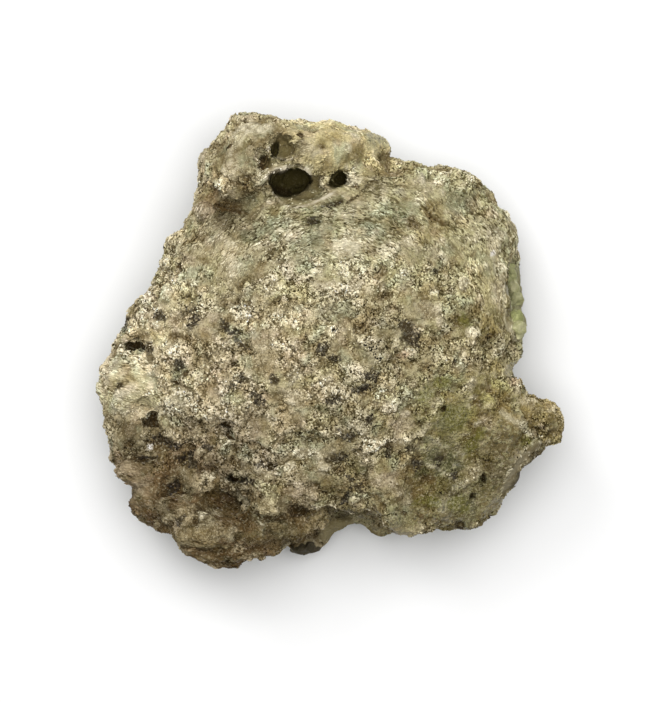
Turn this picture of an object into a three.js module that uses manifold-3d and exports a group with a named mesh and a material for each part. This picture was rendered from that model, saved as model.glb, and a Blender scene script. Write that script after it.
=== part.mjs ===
// A piece of trinitite: desert sand that one great flash of heat fused into a crust of glass.
// The piece lies with the sandy underside of that crust up, as a dome with a rolled lip and a
// horn. Under the dome is the glass sheet that was the molten face of the ground: it shows past
// the dome's edge as ledges, and the piece rests on three places where it is flat.
// Everything is one solid, because the sand, the glass and the bubbles were fused together.
import * as THREE from "three";
import { mergeVertices } from "three/addons/utils/BufferGeometryUtils.js";
import { ImprovedNoise } from "three/addons/math/ImprovedNoise.js";
import Module from "manifold-3d";

// ---------------------------------------------------------------- driving sizes, in millimetres

const DOME_HEIGHT = 10.2; // top of the sandy dome above the surface it rests on
const DOME_RIM = 4.9; // height of the dome's widest line
const DOME_BASE = 1.3; // height of the dome's lower face
const SHEET_HEIGHT = 4.0; // top of the glass sheet under the dome
const SHEET_RIM = 2.2;
const SHEET_FACE = 0.55; // how far the sheet's underside stays above the ground
const LIP_HEIGHT = 10.5;
const LIP_RIM = 5.6;
const LIP_BASE = 2.0;

const COARSE = 3.4; // width of the broader bumps of the roughness
const FINE = 1.5;
const SAND_RELIEF = [0.3, 0.75]; // depth of the sandy layers' roughness, at its least and most
const GLASS_RELIEF = 0.25;
const LUMP_GRAIN = 1.1; // width of the bumps on lumps and in bubbles
const LUMP_RELIEF = 0.35;
const BUBBLE_RELIEF = 0.12;

const DOME_DETAIL = 14; // subdivisions of an icosahedron
const SHEET_DETAIL = 7;
const LIP_DETAIL = 6;
const LUMP_DETAIL = 1;
const BUBBLE_DETAIL = 1;

// Outlines seen from above, each as [x, y] points anticlockwise from +X.
const DOME_OUTLINE = [
  [12.1, 0.2], [11.6, 2.2], [11.4, 3.8], [11.9, 5.3], [12.0, 7.1], [11.1, 8.2], [9.9, 9.5],
  [8.4, 10.6], [7.4, 10.9], [6.3, 10.8], [5.3, 11.1], [4.2, 11.1], [2.6, 12.0], [-0.6, 12.4],
  [-4.5, 12.0], [-7.2, 10.0], [-8.8, 7.6], [-10.1, 6.3], [-10.7, 4.8], [-11.2, 3.3],
  [-12.1, 2.4], [-13.2, 0.6], [-14.4, -1.0], [-14.8, -2.8], [-14.7, -4.4], [-14.4, -6.2],
  [-14.2, -7.7], [-13.0, -9.2], [-12.8, -10.7], [-12.1, -11.9], [-10.4, -12.9], [-9.2, -13.8],
  [-7.8, -14.5], [-6.1, -14.9], [-4.5, -14.3], [-3.0, -13.5], [-1.6, -12.1], [-0.3, -10.9],
  [1.0, -11.0], [1.7, -11.4], [2.4, -11.1], [3.6, -11.9], [4.7, -12.9], [6.3, -12.6],
  [8.2, -12.3], [9.5, -12.0], [10.7, -11.0], [11.5, -9.6], [12.4, -8.0], [13.4, -7.2],
  [14.7, -6.7], [15.0, -5.4], [14.3, -4.2], [13.0, -3.7], [12.2, -3.1], [11.5, -1.9],
  [12.1, -0.9],
];
const SHEET_OUTLINE = [
  [12.8, 1.1], [12.4, 2.4], [12.5, 4.1], [12.4, 5.4], [11.0, 6.8], [9.4, 8.2], [7.6, 9.4],
  [5.6, 9.6], [3.6, 10.4], [1.8, 11.4], [-0.6, 12.0], [-3.4, 12.2], [-5.6, 11.4],
  [-6.6, 9.4], [-7.6, 7.2], [-9.0, 5.2], [-9.6, 3.0], [-11.2, 0.8], [-12.2, -1.6],
  [-12.6, -4.2], [-12.0, -7.0], [-11.0, -9.2], [-9.4, -11.0], [-7.6, -12.6],
  [-5.4, -13.0], [-3.6, -13.2], [-2.4, -13.9], [-1.2, -13.8], [0.1, -12.9], [0.9, -11.8],
  [1.6, -11.4], [2.4, -12.3], [3.2, -13.0], [4.6, -11.8], [7.4, -11.0], [9.4, -10.6],
  [10.9, -9.8], [12.3, -9.1], [12.6, -8.4], [13.6, -7.3], [13.8, -5.9], [13.0, -4.5],
  [12.2, -3.5], [12.3, -2.7], [11.3, -1.8], [11.8, -0.6],
];
const LIP_OUTLINE = [
  [3.7, 11.8], [3.2, 12.7], [2.0, 13.3], [0.3, 13.6], [-1.5, 13.8], [-3.6, 14.1], [-5.7, 14.4],
  [-6.6, 13.6], [-7.6, 12.6], [-8.4, 11.4], [-8.6, 10.1], [-8.8, 8.7], [-8.3, 7.6], [-7.1, 7.3],
  [-6.0, 7.9], [-5.2, 8.8], [-4.0, 8.5], [-2.0, 8.3], [0.4, 8.9], [2.4, 10.0], [3.5, 10.9],
];

// Broad rises and falls of a layer's top, as a height and the distance over which it fades.
const DOME_SWELLS = [
  { x: -2.4, y: 1.7, reach: 6.5, rise: 1.0 },
  { x: 4.6, y: -3.3, reach: 4.5, rise: 0.7 },
  { x: -9.4, y: -10.3, reach: 4.6, rise: -3.0 },
  { x: -13.4, y: -2.3, reach: 3.6, rise: -1.6 },
  { x: -2.4, y: -12.8, reach: 3.0, rise: -1.8 },
  { x: 8.6, y: -10.3, reach: 4.5, rise: -2.2 },
  { x: 13.6, y: -5.3, reach: 2.6, rise: -0.8 },
  { x: 9.9, y: 8.3, reach: 4.0, rise: -1.4 },
  { x: -12.7, y: -7.1, reach: 1.0, rise: -1.0 }, // groove that runs in from the left edge
  { x: -10.7, y: -7.0, reach: 1.2, rise: -1.1 },
  { x: -8.9, y: -7.9, reach: 1.0, rise: -0.7 },
  { x: -9.8, y: -9.8, reach: 1.0, rise: -0.9 },
  { x: -12.2, y: -0.7, reach: 0.9, rise: -0.6 },
  { x: -5.3, y: 7.9, reach: 1.3, rise: -1.4 }, // crease under the lip's left end
];
const LIP_SWELLS = [
  { x: -6.5, y: 10.5, reach: 2.4, rise: 0.6 },
  { x: -0.9, y: 12.5, reach: 2.0, rise: -0.2 },
  { x: 3.1, y: 11.3, reach: 2.4, rise: -1.6 },
  { x: -7.5, y: 8.1, reach: 1.6, rise: -1.6 },
];
// The glass sheet's underside rises and falls, and hangs lowest at its three feet.
const SHEET_SWELLS = [
  { x: -6.0, y: 5.2, reach: 2.9, rise: -1.35 },
  { x: 8.0, y: 2.0, reach: 2.6, rise: -1.15 },
  { x: -3.2, y: -8.6, reach: 2.8, rise: -1.1 },
  { x: 1.5, y: 7.0, reach: 3.2, rise: 0.8 },
  { x: 6.4, y: -6.6, reach: 3.0, rise: 0.7 },
  { x: -7.6, y: -2.4, reach: 2.8, rise: 0.7 },
  { x: 1.0, y: -1.0, reach: 3.0, rise: 0.3 },
];

// Lumps of half-fused sand: place from above, half-sizes, and how deep the centre is set.
const LUMPS = [
  { x: -3.9, y: -10.4, size: [1.3, 1.4, 1.4], sunk: 0.1 }, // pale lump over the hollow
  { x: -2.5, y: -12.1, size: [1.5, 1.1, 1.1], sunk: 0.1 }, // the ledge below it
  { x: -1.1, y: -11.5, size: [1.2, 0.9, 1.0], sunk: 0.2 },
  { x: -4.9, y: -12.8, size: [1.1, 0.9, 1.0], sunk: 0.2 },
  { x: -4.1, y: -13.6, size: [1.1, 0.7, 0.9], sunk: 0.5 },
  { x: -7.9, y: -12.5, size: [2.2, 1.2, 1.3], sunk: 0.1 }, // the front ledge
  { x: -6.9, y: -13.7, size: [2.2, 0.9, 1.3], sunk: 0.8 },
  { x: -9.6, y: -11.2, size: [1.2, 1.1, 1.1], sunk: 0.2 },
  { x: -8.0, y: -11.5, size: [0.7, 0.7, 0.7], sunk: 0.2 },
  { x: -11.5, y: -10.6, size: [1.4, 1.4, 1.5], sunk: 0.6 },
  { x: -12.1, y: -8.7, size: [1.8, 0.9, 1.2], sunk: 0.4 },
  { x: -8.2, y: -9.3, size: [1.5, 0.9, 1.0], sunk: 0.2 },
  { x: -12.5, y: -3.1, size: [1.8, 2.2, 1.8], sunk: 0.7 }, // the left bulge
  { x: -12.3, y: -0.1, size: [1.0, 0.6, 0.9], sunk: 0.4 },
  { x: -7.3, y: -7.7, size: [1.4, 0.9, 1.0], sunk: 0.5 },
  { x: 1.3, y: -10.5, size: [1.5, 0.9, 1.1], sunk: 0.7 },
  { x: 13.4, y: -5.5, size: [1.5, 1.1, 1.3], sunk: 0.8 }, // the horn's tip
  { x: 11.3, y: -5.5, size: [1.6, 1.3, 1.1], sunk: 0.7 },
  { x: 5.1, y: 9.8, size: [1.2, 1.0, 1.2], sunk: 0.7 },
  { x: 7.7, y: 9.3, size: [1.6, 1.2, 1.3], sunk: 0.8 },
  { x: -7.8, y: 7.8, size: [0.8, 0.8, 0.9], sunk: 0.3 }, // under the lip's left end
];

// Bubbles that the crust broke open, in from above, from a side or from below. A bubble is given
// by where its line of sight starts, which way that runs, its half-sizes and how far its centre
// lies beyond the surface that the line meets.
const ABOVE = 50;
const down = (x, y, size, sunk) => ({ from: [x, y, ABOVE], along: [0, 0, -1], size, sunk });
const up = (x, y, size, sunk) => ({ from: [x, y, -ABOVE], along: [0, 0, 1], size, sunk });
const inwards = (degrees, z, size, sunk) => {
  const angle = THREE.MathUtils.degToRad(degrees);
  const [x, y] = [Math.cos(angle), Math.sin(angle)];
  return { from: [x * ABOVE, y * ABOVE, z], along: [-x, -y, 0], size, sunk };
};
const BUBBLES = [
  down(-2.4, 9.8, [1.5, 1.25, 1.7], 1.0), // the large one in the lip
  down(-1.4, 9.4, [1.4, 0.95, 0.9], 0.2), // the shallow shelf beside it
  down(-3.0, 11.8, [0.9, 0.85, 1.0], 0.4),
  down(-4.3, 11.1, [0.45, 0.65, 1.0], 0.4),
  down(0.7, 9.9, [0.7, 0.6, 0.9], 0.5),
  down(-11.3, -5.3, [0.5, 0.55, 0.9], 0.4),
  down(-6.4, -6.0, [0.5, 0.7, 0.8], 0.3),
  down(-6.6, -10.7, [1.7, 1.1, 1.3], 0.1), // the hollow between the lumps
  down(-6.1, -9.2, [0.7, 0.45, 0.9], 0.4), // the cave behind it
  down(-12.3, -0.8, [0.8, 0.4, 0.8], 0.3),
  inwards(35, 3.4, [1.3, 1.3, 0.9], 0.4),
  inwards(62, 4.2, [0.9, 0.9, 0.8], 0.3),
  inwards(150, 3.6, [1.1, 1.1, 0.8], 0.4),
  inwards(205, 2.8, [1.3, 1.3, 0.8], 0.3),
  inwards(262, 3.0, [1.5, 1.5, 1.1], 0.2), // the smooth hollow in the front edge
  inwards(300, 2.9, [1.4, 1.4, 0.9], 0.4),
  up(4.4, 5.6, [1.5, 1.3, 1.2], 0.3),
  up(-2.2, 2.6, [1.1, 1.2, 0.9], 0.3),
  up(3.8, -8.2, [1.2, 1.0, 0.9], 0.2),
  up(-8.4, -5.0, [0.9, 1.0, 0.8], 0.2),
];

const noise = new ImprovedNoise();

// Fractal noise between about -1 and 1, whose largest features are size millimetres across.
// Each octave is half as deep as the one before it and about half as wide.
const NOISE_ORIGIN = new THREE.Vector3(31, 17, 5);
const OCTAVE_RATIO = 2.03; // just off 2, so that the octaves' zeros don't coincide

function roughness(point, size, octaves) {
  const at = point.clone().divideScalar(size);
  let total = 0;
  for (let i = 0; i < octaves; i++) {
    const { x, y, z } = at.clone().add(NOISE_ORIGIN);
    total += noise.noise(x, y, z) / 2 ** i;
    at.multiplyScalar(OCTAVE_RATIO);
  }
  return total;
}

// The sand is smoothest at the right rear and coarsest at the left front.
function sandRelief(x, y) {
  return THREE.MathUtils.lerp(...SAND_RELIEF, THREE.MathUtils.smoothstep(-x - y, -12, 18));
}

function swellAt(swells, x, y) {
  return swells.reduce((sum, s) => {
    const far = Math.hypot(x - s.x, y - s.y) / s.reach;
    return sum + s.rise * Math.exp(-far * far);
  }, 0);
}

// The distance from centre to a smooth closed outline, as a function of the direction and of the
// share of the way out: the outline's notches fade inwards, so that they don't crease the middle.
function reachOf(outline, centre) {
  const STEPS = 720;
  const SPREAD = 40; // steps each way that the inner, even outline is averaged over
  const points = outline.map(([x, y]) => new THREE.Vector3(x - centre[0], y - centre[1], 0));
  const curve = new THREE.CatmullRomCurve3(points, true, "centripetal");
  const reach = new Array(STEPS).fill(0);
  for (const p of curve.getPoints(STEPS * 6)) {
    const slot = Math.round(((Math.atan2(p.y, p.x) / (2 * Math.PI) + 1) % 1) * STEPS) % STEPS;
    reach[slot] = Math.max(reach[slot], Math.hypot(p.x, p.y));
  }
  const mean = reach.map((_, i) => {
    let sum = 0;
    for (let k = -SPREAD; k <= SPREAD; k++) sum += reach[(i + k + STEPS) % STEPS];
    return sum / (2 * SPREAD + 1);
  });
  return (angle, share) => {
    const at = ((angle / (2 * Math.PI) + 1) % 1) * STEPS;
    const low = Math.floor(at) % STEPS;
    const high = (low + 1) % STEPS;
    const edge = THREE.MathUtils.lerp(reach[low], reach[high], at - Math.floor(at));
    const inside = THREE.MathUtils.lerp(mean[low], mean[high], at - Math.floor(at));
    return THREE.MathUtils.lerp(inside, edge, share ** 3);
  };
}

// A sphere of triangles with shared corners, which move(direction) places one by one.
function shapedSphere(detail, move) {
  const sphere = new THREE.IcosahedronGeometry(1, detail);
  sphere.deleteAttribute("normal");
  sphere.deleteAttribute("uv");
  const shape = mergeVertices(sphere, 1e-4);
  const position = shape.getAttribute("position");
  const direction = new THREE.Vector3();
  for (let i = 0; i < position.count; i++) {
    const placed = move(direction.fromBufferAttribute(position, i).normalize());
    position.setXYZ(i, placed.x, placed.y, placed.z);
  }
  return shape;
}

// A slow rise and fall between about -1 and 1 over the plan of the piece.
const WANDER_WIDTH = 6;
function wander(x, y) {
  return noise.noise(x / WANDER_WIDTH + 3, y / WANDER_WIDTH + 8, 0.5);
}

// A thick, rounded layer inside an outline. A superellipse rounds its side, rim is the height of
// its widest line, which wanders by sway, top(x, y) and bottom(x, y) are the heights of its faces,
// and grain(x, y) is the depth of its roughness.
const FLATNESS = 1.5; // a layer's surface faces up more than its sphere's does
function layer({ outline, centre, detail, rim, sway, top, bottom, squareness, grain }) {
  const reach = reachOf(outline, centre);
  return shapedSphere(detail, (n) => {
    const across = Math.hypot(n.x, n.y);
    const share = Math.pow(across, 2 / squareness);
    const lift = Math.pow(Math.abs(n.z), 2 / squareness);
    const radius = reach(Math.atan2(n.y, n.x), share) * share;
    const along = across > 0 ? radius / across : 0;
    const x = centre[0] + n.x * along;
    const y = centre[1] + n.y * along;
    const middle = rim + sway * wander(x, y);
    const face = n.z > 0 ? top(x, y) : bottom(x, y);
    const placed = new THREE.Vector3(x, y, middle + (face - middle) * lift);
    const outwards = new THREE.Vector3(n.x, n.y, n.z * FLATNESS).normalize();
    const bumps = roughness(placed, COARSE, 1) + 0.7 * roughness(placed, FINE, 2);
    return placed.addScaledVector(outwards, grain(x, y) * bumps);
  });
}

// An uneven pebble shape for a lump or, cut out, for a bubble.
function pebble({ place, size, detail, relief }) {
  return shapedSphere(detail, (n) => {
    const placed = new THREE.Vector3(...size).multiply(n).add(place);
    return placed.addScaledVector(n, relief * roughness(placed, LUMP_GRAIN, 2));
  });
}

// ---------------------------------------------------------------- joining and cutting

const wasm = await Module();
wasm.setup();

function solidOf(geometry) {
  const shape = geometry.index ? geometry : mergeVertices(geometry);
  return new wasm.Manifold(
    new wasm.Mesh({
      numProp: 3,
      vertProperties: new Float32Array(shape.getAttribute("position").array),
      triVerts: new Uint32Array(shape.index.array),
    }),
  );
}

function geometryOf(solid) {
  const { numProp, vertProperties, triVerts } = solid.getMesh();
  const corners = new Float32Array((vertProperties.length / numProp) * 3);
  for (let i = 0; i < corners.length / 3; i++) {
    corners.set(vertProperties.subarray(i * numProp, i * numProp + 3), i * 3);
  }
  const geometry = new THREE.BufferGeometry();
  geometry.setAttribute("position", new THREE.BufferAttribute(corners, 3));
  geometry.setIndex(new THREE.BufferAttribute(new Uint32Array(triVerts), 1));
  return geometry;
}

// ---------------------------------------------------------------- the layers

const dome = layer({
  outline: DOME_OUTLINE, centre: [0, 0], detail: DOME_DETAIL, rim: DOME_RIM, sway: 2.6,
  top: (x, y) => DOME_HEIGHT + swellAt(DOME_SWELLS, x, y), bottom: () => DOME_BASE,
  squareness: 2.5, grain: sandRelief,
});
const sheet = layer({
  outline: SHEET_OUTLINE, centre: [0, 0], detail: SHEET_DETAIL, rim: SHEET_RIM, sway: 1.0,
  top: () => SHEET_HEIGHT, bottom: (x, y) => SHEET_FACE + swellAt(SHEET_SWELLS, x, y),
  squareness: 3.0, grain: () => GLASS_RELIEF,
});
const lip = layer({
  outline: LIP_OUTLINE, centre: [-2.8, 11.0], detail: LIP_DETAIL, rim: LIP_RIM, sway: 2.0,
  top: (x, y) => LIP_HEIGHT + swellAt(LIP_SWELLS, x, y), bottom: () => LIP_BASE,
  squareness: 2.2, grain: sandRelief,
});

// Lumps and bubbles sit where a line of sight first meets the layers.
let body = solidOf(dome).add(solidOf(sheet)).add(solidOf(lip));
const skin = new THREE.Mesh(geometryOf(body), new THREE.MeshBasicMaterial({ side: THREE.DoubleSide }));
function placeAt({ from, along, sunk }) {
  const way = new THREE.Vector3(...along);
  const [first] = new THREE.Raycaster(new THREE.Vector3(...from), way).intersectObject(skin);
  if (!first) throw new Error(`nothing lies beyond ${from}`);
  return first.point.addScaledVector(way, sunk);
}

for (const { x, y, size, sunk } of LUMPS) {
  const place = placeAt(down(x, y, size, sunk));
  const lump = pebble({ place, size, detail: LUMP_DETAIL, relief: LUMP_RELIEF });
  body = body.add(solidOf(lump));
}
for (const bubble of BUBBLES) {
  const place = placeAt(bubble);
  const hole = pebble({ place, size: bubble.size, detail: BUBBLE_DETAIL, relief: BUBBLE_RELIEF });
  body = body.subtract(solidOf(hole));
}

// Everything below the resting plane is cut away, which leaves the feet flat.
const GROUND_WIDTH = 60;
const GROUND_DEPTH = 10;
const ground = new THREE.BoxGeometry(GROUND_WIDTH, GROUND_WIDTH, GROUND_DEPTH);
ground.deleteAttribute("normal");
ground.deleteAttribute("uv");
ground.translate(0, 0, -GROUND_DEPTH / 2);
body = body.subtract(solidOf(mergeVertices(ground)));

const pieceGeometry = geometryOf(body);
pieceGeometry.computeBoundingBox();
const middle = pieceGeometry.boundingBox.getCenter(new THREE.Vector3());
pieceGeometry.translate(-middle.x, -middle.y, 0);
pieceGeometry.computeVertexNormals();

const fusedSand = new THREE.MeshStandardMaterial({ color: 0xa39a7a, roughness: 0.85, metalness: 0 });
const piece = new THREE.Mesh(pieceGeometry, fusedSand);
piece.name = "trinitite";

const trinitite = new THREE.Group();
trinitite.add(piece);
export default trinitite;
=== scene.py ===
# %% [markdown]
# # A piece of trinitite
# Trinitite is desert sand that one great flash of heat fused into a crust of glass. This piece
# lies with its sandy face up. It is crumbly at the left, glassy and green at the right, and has a
# rolled lip with open bubbles, a blunt horn and flecks of soot. The faceted solid of the packed
# model already has its main shapes. Here that solid gets its fine surface, its colours and its
# loose and half-sunk grains of sand.

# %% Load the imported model
import math

import bmesh
import bpy
import numpy as np
from mathutils import Matrix, Vector, noise


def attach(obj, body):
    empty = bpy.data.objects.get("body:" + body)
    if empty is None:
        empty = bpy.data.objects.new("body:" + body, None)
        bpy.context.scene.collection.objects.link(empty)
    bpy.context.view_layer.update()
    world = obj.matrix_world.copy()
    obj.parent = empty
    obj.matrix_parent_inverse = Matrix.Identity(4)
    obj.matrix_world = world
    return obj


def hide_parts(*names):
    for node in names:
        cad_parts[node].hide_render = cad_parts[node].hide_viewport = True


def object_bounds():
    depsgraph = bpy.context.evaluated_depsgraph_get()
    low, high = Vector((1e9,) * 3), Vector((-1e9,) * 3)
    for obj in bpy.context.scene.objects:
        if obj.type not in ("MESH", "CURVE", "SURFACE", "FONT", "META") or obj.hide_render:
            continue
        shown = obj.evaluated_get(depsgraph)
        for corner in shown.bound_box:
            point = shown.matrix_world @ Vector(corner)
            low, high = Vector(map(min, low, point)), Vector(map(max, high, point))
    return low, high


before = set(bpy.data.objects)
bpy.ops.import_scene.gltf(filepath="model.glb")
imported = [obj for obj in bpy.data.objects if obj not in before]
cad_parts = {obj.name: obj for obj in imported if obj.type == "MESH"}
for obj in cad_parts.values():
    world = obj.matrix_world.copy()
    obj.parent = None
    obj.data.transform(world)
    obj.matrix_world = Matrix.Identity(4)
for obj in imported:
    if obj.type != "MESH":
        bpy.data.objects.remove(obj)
cad_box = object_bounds()
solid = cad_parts["trinitite"]
print("the packed solid has", len(solid.data.polygons), "faces")

# %% [markdown]
# ## Working in millimetres
# Sand is measured in tenths of a millimetre, and Blender's unit is the metre. Every size below is
# therefore in millimetres, each mesh is worked out in millimetres, and it is brought down to
# metres once, at the end. A few small helpers blend numbers and colours.

# %% Helpers for numbers and colours
MM = 0.001


def ease(value, low, high):
    """0 at low, 1 at high and an even curve between them. Either may be the larger one."""
    share = np.clip((value - low) / (high - low), 0, 1)
    return share * share * (3 - 2 * share)


def towards(colours, colour, share):
    """Rows of colours, each moved by its share towards a colour."""
    return colours + (np.asarray(colour) - colours) * np.asarray(share)[:, None]


def fractal(points, size, octaves=2, seed=0):
    """Noise of about -1 to 1 at each point, whose broadest bumps are size millimetres wide."""
    shift = Vector((7.3, 3.1, 5.7)) * (seed + 1)
    spots = (np.asarray(points) / size).tolist()
    return np.array([noise.fractal(Vector(spot) + shift, 1.0, 2.0, octaves) for spot in spots])


def crumbs(points, size, seed=0):
    """1 at the middle of each crumb of about that size and 0 in the cracks between crumbs."""
    shift = Vector((4.7, 9.2, 2.6)) * (seed + 1)
    spots = (np.asarray(points) / size).tolist()
    near = np.array([noise.voronoi(Vector(spot) + shift)[0][:2] for spot in spots])
    return ease(near[:, 1] - near[:, 0], 0.0, 0.5)


# %% [markdown]
# ## The camera
# The piece is seen from straight above. A camera without perspective would do, but a long lens from
# high up shows the outline as truly and keeps a little of the sides. The camera comes first so that
# every later step can be looked at.

# %% Place the camera
CAMERA_PLACE = (0.128, -0.705, 300.0)
CAMERA_LENS = 236.1

camera_data = bpy.data.cameras.new("camera")
camera_data.lens = CAMERA_LENS
camera_data.sensor_width = 36.0
camera_data.clip_start = 0.01
camera = bpy.data.objects.new("camera", camera_data)
camera.location = Vector(CAMERA_PLACE) * MM
bpy.context.scene.collection.objects.link(camera)
bpy.context.scene.camera = camera
print("the camera is", CAMERA_PLACE[2], "mm above the table")

# %% [markdown]
# ## The table and the light
# The piece lies on a plain white table. A small lamp would throw a hard shadow, so it lies under a
# wide, soft one that leans a little to the far side: the shadow is short and gathers at the near
# edge. A smaller, lower lamp at the far left brings out the lumps. The table is lit well past
# white, as on a light-box: only the strip next to the piece stays grey. A weak, even sky fills the
# hollows.

# %% Make the table
TABLE_WIDTH = 1500
TABLE_WHITE = (0.75, 0.75, 0.75, 1)


def table_finish():
    material = bpy.data.materials.new("table_white")
    material.use_nodes = True
    shader = material.node_tree.nodes["Principled BSDF"]
    shader.inputs["Base Color"].default_value = TABLE_WHITE
    shader.inputs["Roughness"].default_value = 0.9
    shader.inputs["Specular IOR Level"].default_value = 0.0
    return material


def make_table():
    sheet = bmesh.new()
    bmesh.ops.create_grid(sheet, x_segments=1, y_segments=1, size=TABLE_WIDTH / 2 * MM)
    mesh = bpy.data.meshes.new("table")
    sheet.to_mesh(mesh)
    sheet.free()
    mesh.materials.append(table_finish())
    table = bpy.data.objects.new("table", mesh)
    bpy.context.scene.collection.objects.link(table)


make_table()
print("the table is", TABLE_WIDTH, "mm wide")

# %% Hang the lamps
LAMP_DISTANCE = 500
# A lamp's lean from straight above, its turn from the far side to the left and the angle from its
# middle to its rim, all in degrees, and how bright it alone makes the table.
LAMPS = {"overhead": (9, -25, 30, 1.13), "far_left": (44, 38, 12, 0.22)}


def make_lamp(name, lean, turn, reach, on_table):
    lean, turn, reach = (math.radians(angle) for angle in (lean, turn, reach))
    radius = LAMP_DISTANCE * math.tan(reach) * MM
    data = bpy.data.lights.new(name, "AREA")
    data.shape = "DISK"
    data.size = 2 * radius
    # A disk of radiance L lights the table to L * sin(reach)^2 * cos(lean).
    radiance = on_table / (math.sin(reach) ** 2 * math.cos(lean))
    data.energy = radiance * math.pi**2 * radius**2
    lamp = bpy.data.objects.new(name, data)
    along = math.sin(lean)
    way = Vector((-along * math.sin(turn), along * math.cos(turn), math.cos(lean)))
    lamp.location = way * LAMP_DISTANCE * MM
    lamp.rotation_euler = way.to_track_quat("Z", "Y").to_euler()
    bpy.context.scene.collection.objects.link(lamp)


for lamp_name, how in LAMPS.items():
    make_lamp(lamp_name, *how)
print("hung", len(LAMPS), "lamps")

# %% Light the sky
SKY_ON_TABLE = 0.10

world = bpy.data.worlds.new("sky")
world.use_nodes = True
backdrop = world.node_tree.nodes["Background"]
backdrop.inputs["Color"].default_value = (1, 1, 1, 1)
backdrop.inputs["Strength"].default_value = SKY_ON_TABLE
bpy.context.scene.world = world
bpy.context.scene.view_settings.view_transform = "Standard"
print("the sky alone gives the table", SKY_ON_TABLE, "of full white")

# %% [markdown]
# ## From facets to a fine, even skin
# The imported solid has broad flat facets. Cutting them finer would leave slivers that crease when
# they are moved. A voxel remesh wraps the solid in small squares of one size instead, and a few
# rounds of smoothing melt the facets together. The copy is merged first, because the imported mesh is
# loose triangles.

# %% Wrap the solid in a fine skin
VOXEL = 0.167
MELT_ROUNDS = 10


def fine_skin():
    start = bmesh.new()
    start.from_mesh(solid.data)
    bmesh.ops.remove_doubles(start, verts=start.verts, dist=1e-7)
    bmesh.ops.scale(start, verts=start.verts, vec=(1 / MM,) * 3)
    mesh = bpy.data.meshes.new("skin")
    start.to_mesh(mesh)
    start.free()
    holder = bpy.data.objects.new("skin", mesh)
    bpy.context.scene.collection.objects.link(holder)
    wrap = holder.modifiers.new("wrap", "REMESH")
    wrap.mode = "VOXEL"
    wrap.voxel_size = VOXEL
    melt = holder.modifiers.new("melt", "SMOOTH")
    melt.factor = 0.5
    melt.iterations = MELT_ROUNDS
    shaped = holder.evaluated_get(bpy.context.evaluated_depsgraph_get())
    made = bpy.data.meshes.new_from_object(shaped)
    bpy.data.objects.remove(holder)
    return made


skin = fine_skin()
print("the skin has", len(skin.vertices), "corners and", len(skin.polygons), "faces")

# %% [markdown]
# ## Marks on the crust
# A stone's colours and hollows lie where they lie: no pattern repeats, so noise alone can't place
# them, and a painted picture would not shape the surface. So each soot fleck, pale chunk and pit is
# a mark with a place, a reach and a slant, and a narrow one is a crooked line. One noise, shared by
# all marks, frays their edges. A mark is worked out for all corners of the skin at once.

# %% The places that marks are worked out on
FRAY_WIDTH = 0.7
LINE_WANDER = 0.12


def rows(mesh, what):
    """A mesh's corner places or directions as rows of three numbers."""
    found = np.empty(len(mesh.vertices) * 3)
    mesh.vertices.foreach_get(what, found)
    return found.reshape(-1, 3)


class Places:
    """Points on the crust with their outward directions, in millimetres."""

    def __init__(self, points, outward):
        self.points = points
        self.outward = outward
        self.x, self.y, self.z = points.T
        self.fray = self.noise(FRAY_WIDTH, 3, seed=1)

    def noise(self, size, octaves=2, seed=0):
        return fractal(self.points, size, octaves, seed)

    def near(self, x, y, reach):
        """1 above or below a place and less and less around it."""
        return np.exp(-((self.x - x) ** 2 + (self.y - y) ** 2) / reach**2)

    def mark(self, x, y, reach, thin=1.0, turn=0.0, fray=0.7, edge=(1.2, 0.65)):
        """1 inside a mark and 0 outside it. thin is its width over its length, and it is turned by
        turn degrees."""
        way = math.radians(turn)
        along = (self.x - x) * math.cos(way) + (self.y - y) * math.sin(way)
        across = (self.y - y) * math.cos(way) - (self.x - x) * math.sin(way)
        far = np.hypot(along, across / thin) / reach + fray * self.fray
        return ease(far, *edge)

    def marks(self, spots, **how):
        """Where any of these marks lies."""
        total = np.zeros(len(self.points))
        for spot in spots:
            total = np.maximum(total, self.mark(*spot, **how))
        return total

    def line(self, width, *stops):
        """1 along a crooked line from stop to stop and 0 away from it."""
        here = self.points[:, :2] + LINE_WANDER * self.fray[:, None]
        near = np.full(len(here), 1e9)
        for start, end in zip(np.array(stops[:-1]), np.array(stops[1:])):
            way = end - start
            share = np.clip((here - start) @ way / (way @ way), 0, 1)
            near = np.minimum(near, np.linalg.norm(here - start - share[:, None] * way, axis=1))
        return ease(near / width, 1.3, 0.5)

    def lines(self, strokes):
        """Where any of these lines runs."""
        return np.maximum.reduce([self.line(*stroke) for stroke in strokes])


places = Places(rows(skin, "co"), rows(skin, "normal"))
print("the fray runs from", round(places.fray.min(), 2), "to", round(places.fray.max(), 2))

# %% [markdown]
# ## A map of the crust
# The colours can be kept as a picture that is wrapped round the crust. It then needs a map, in which
# each face has a place of its own. Blender can unwrap a mesh by itself, but cuts a rough stone into
# thousands of scraps. Here the upper side is laid out flat, as seen from above, and the underside as
# seen from below, smaller, because it is plain glass. Steep sides would have no width there, so the
# charts are draped: the deeper a place lies, the farther out it goes. The map is made before the
# relief, while the faces are even.

# %% Lay out the crust's map
UPPER_CHART = (0.41, 0.41, 0.0213, 0.0213)  # its middle, and its scales across and up
UNDER_CHART = (0.83, 0.83, -0.0075, 0.0075)
SIDE_TOP = 6.5
DRAPE = 0.9


def chart_spots(depth, chart):
    """Where each place lies on a chart. depth is how far down the sides it lies."""
    middle_u, middle_v, across, up = chart
    spread = 1 + DRAPE * depth / np.hypot(places.x, places.y).clip(0.1)
    return np.stack([middle_u + across * places.x * spread, middle_v + up * places.y * spread], 1)


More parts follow.
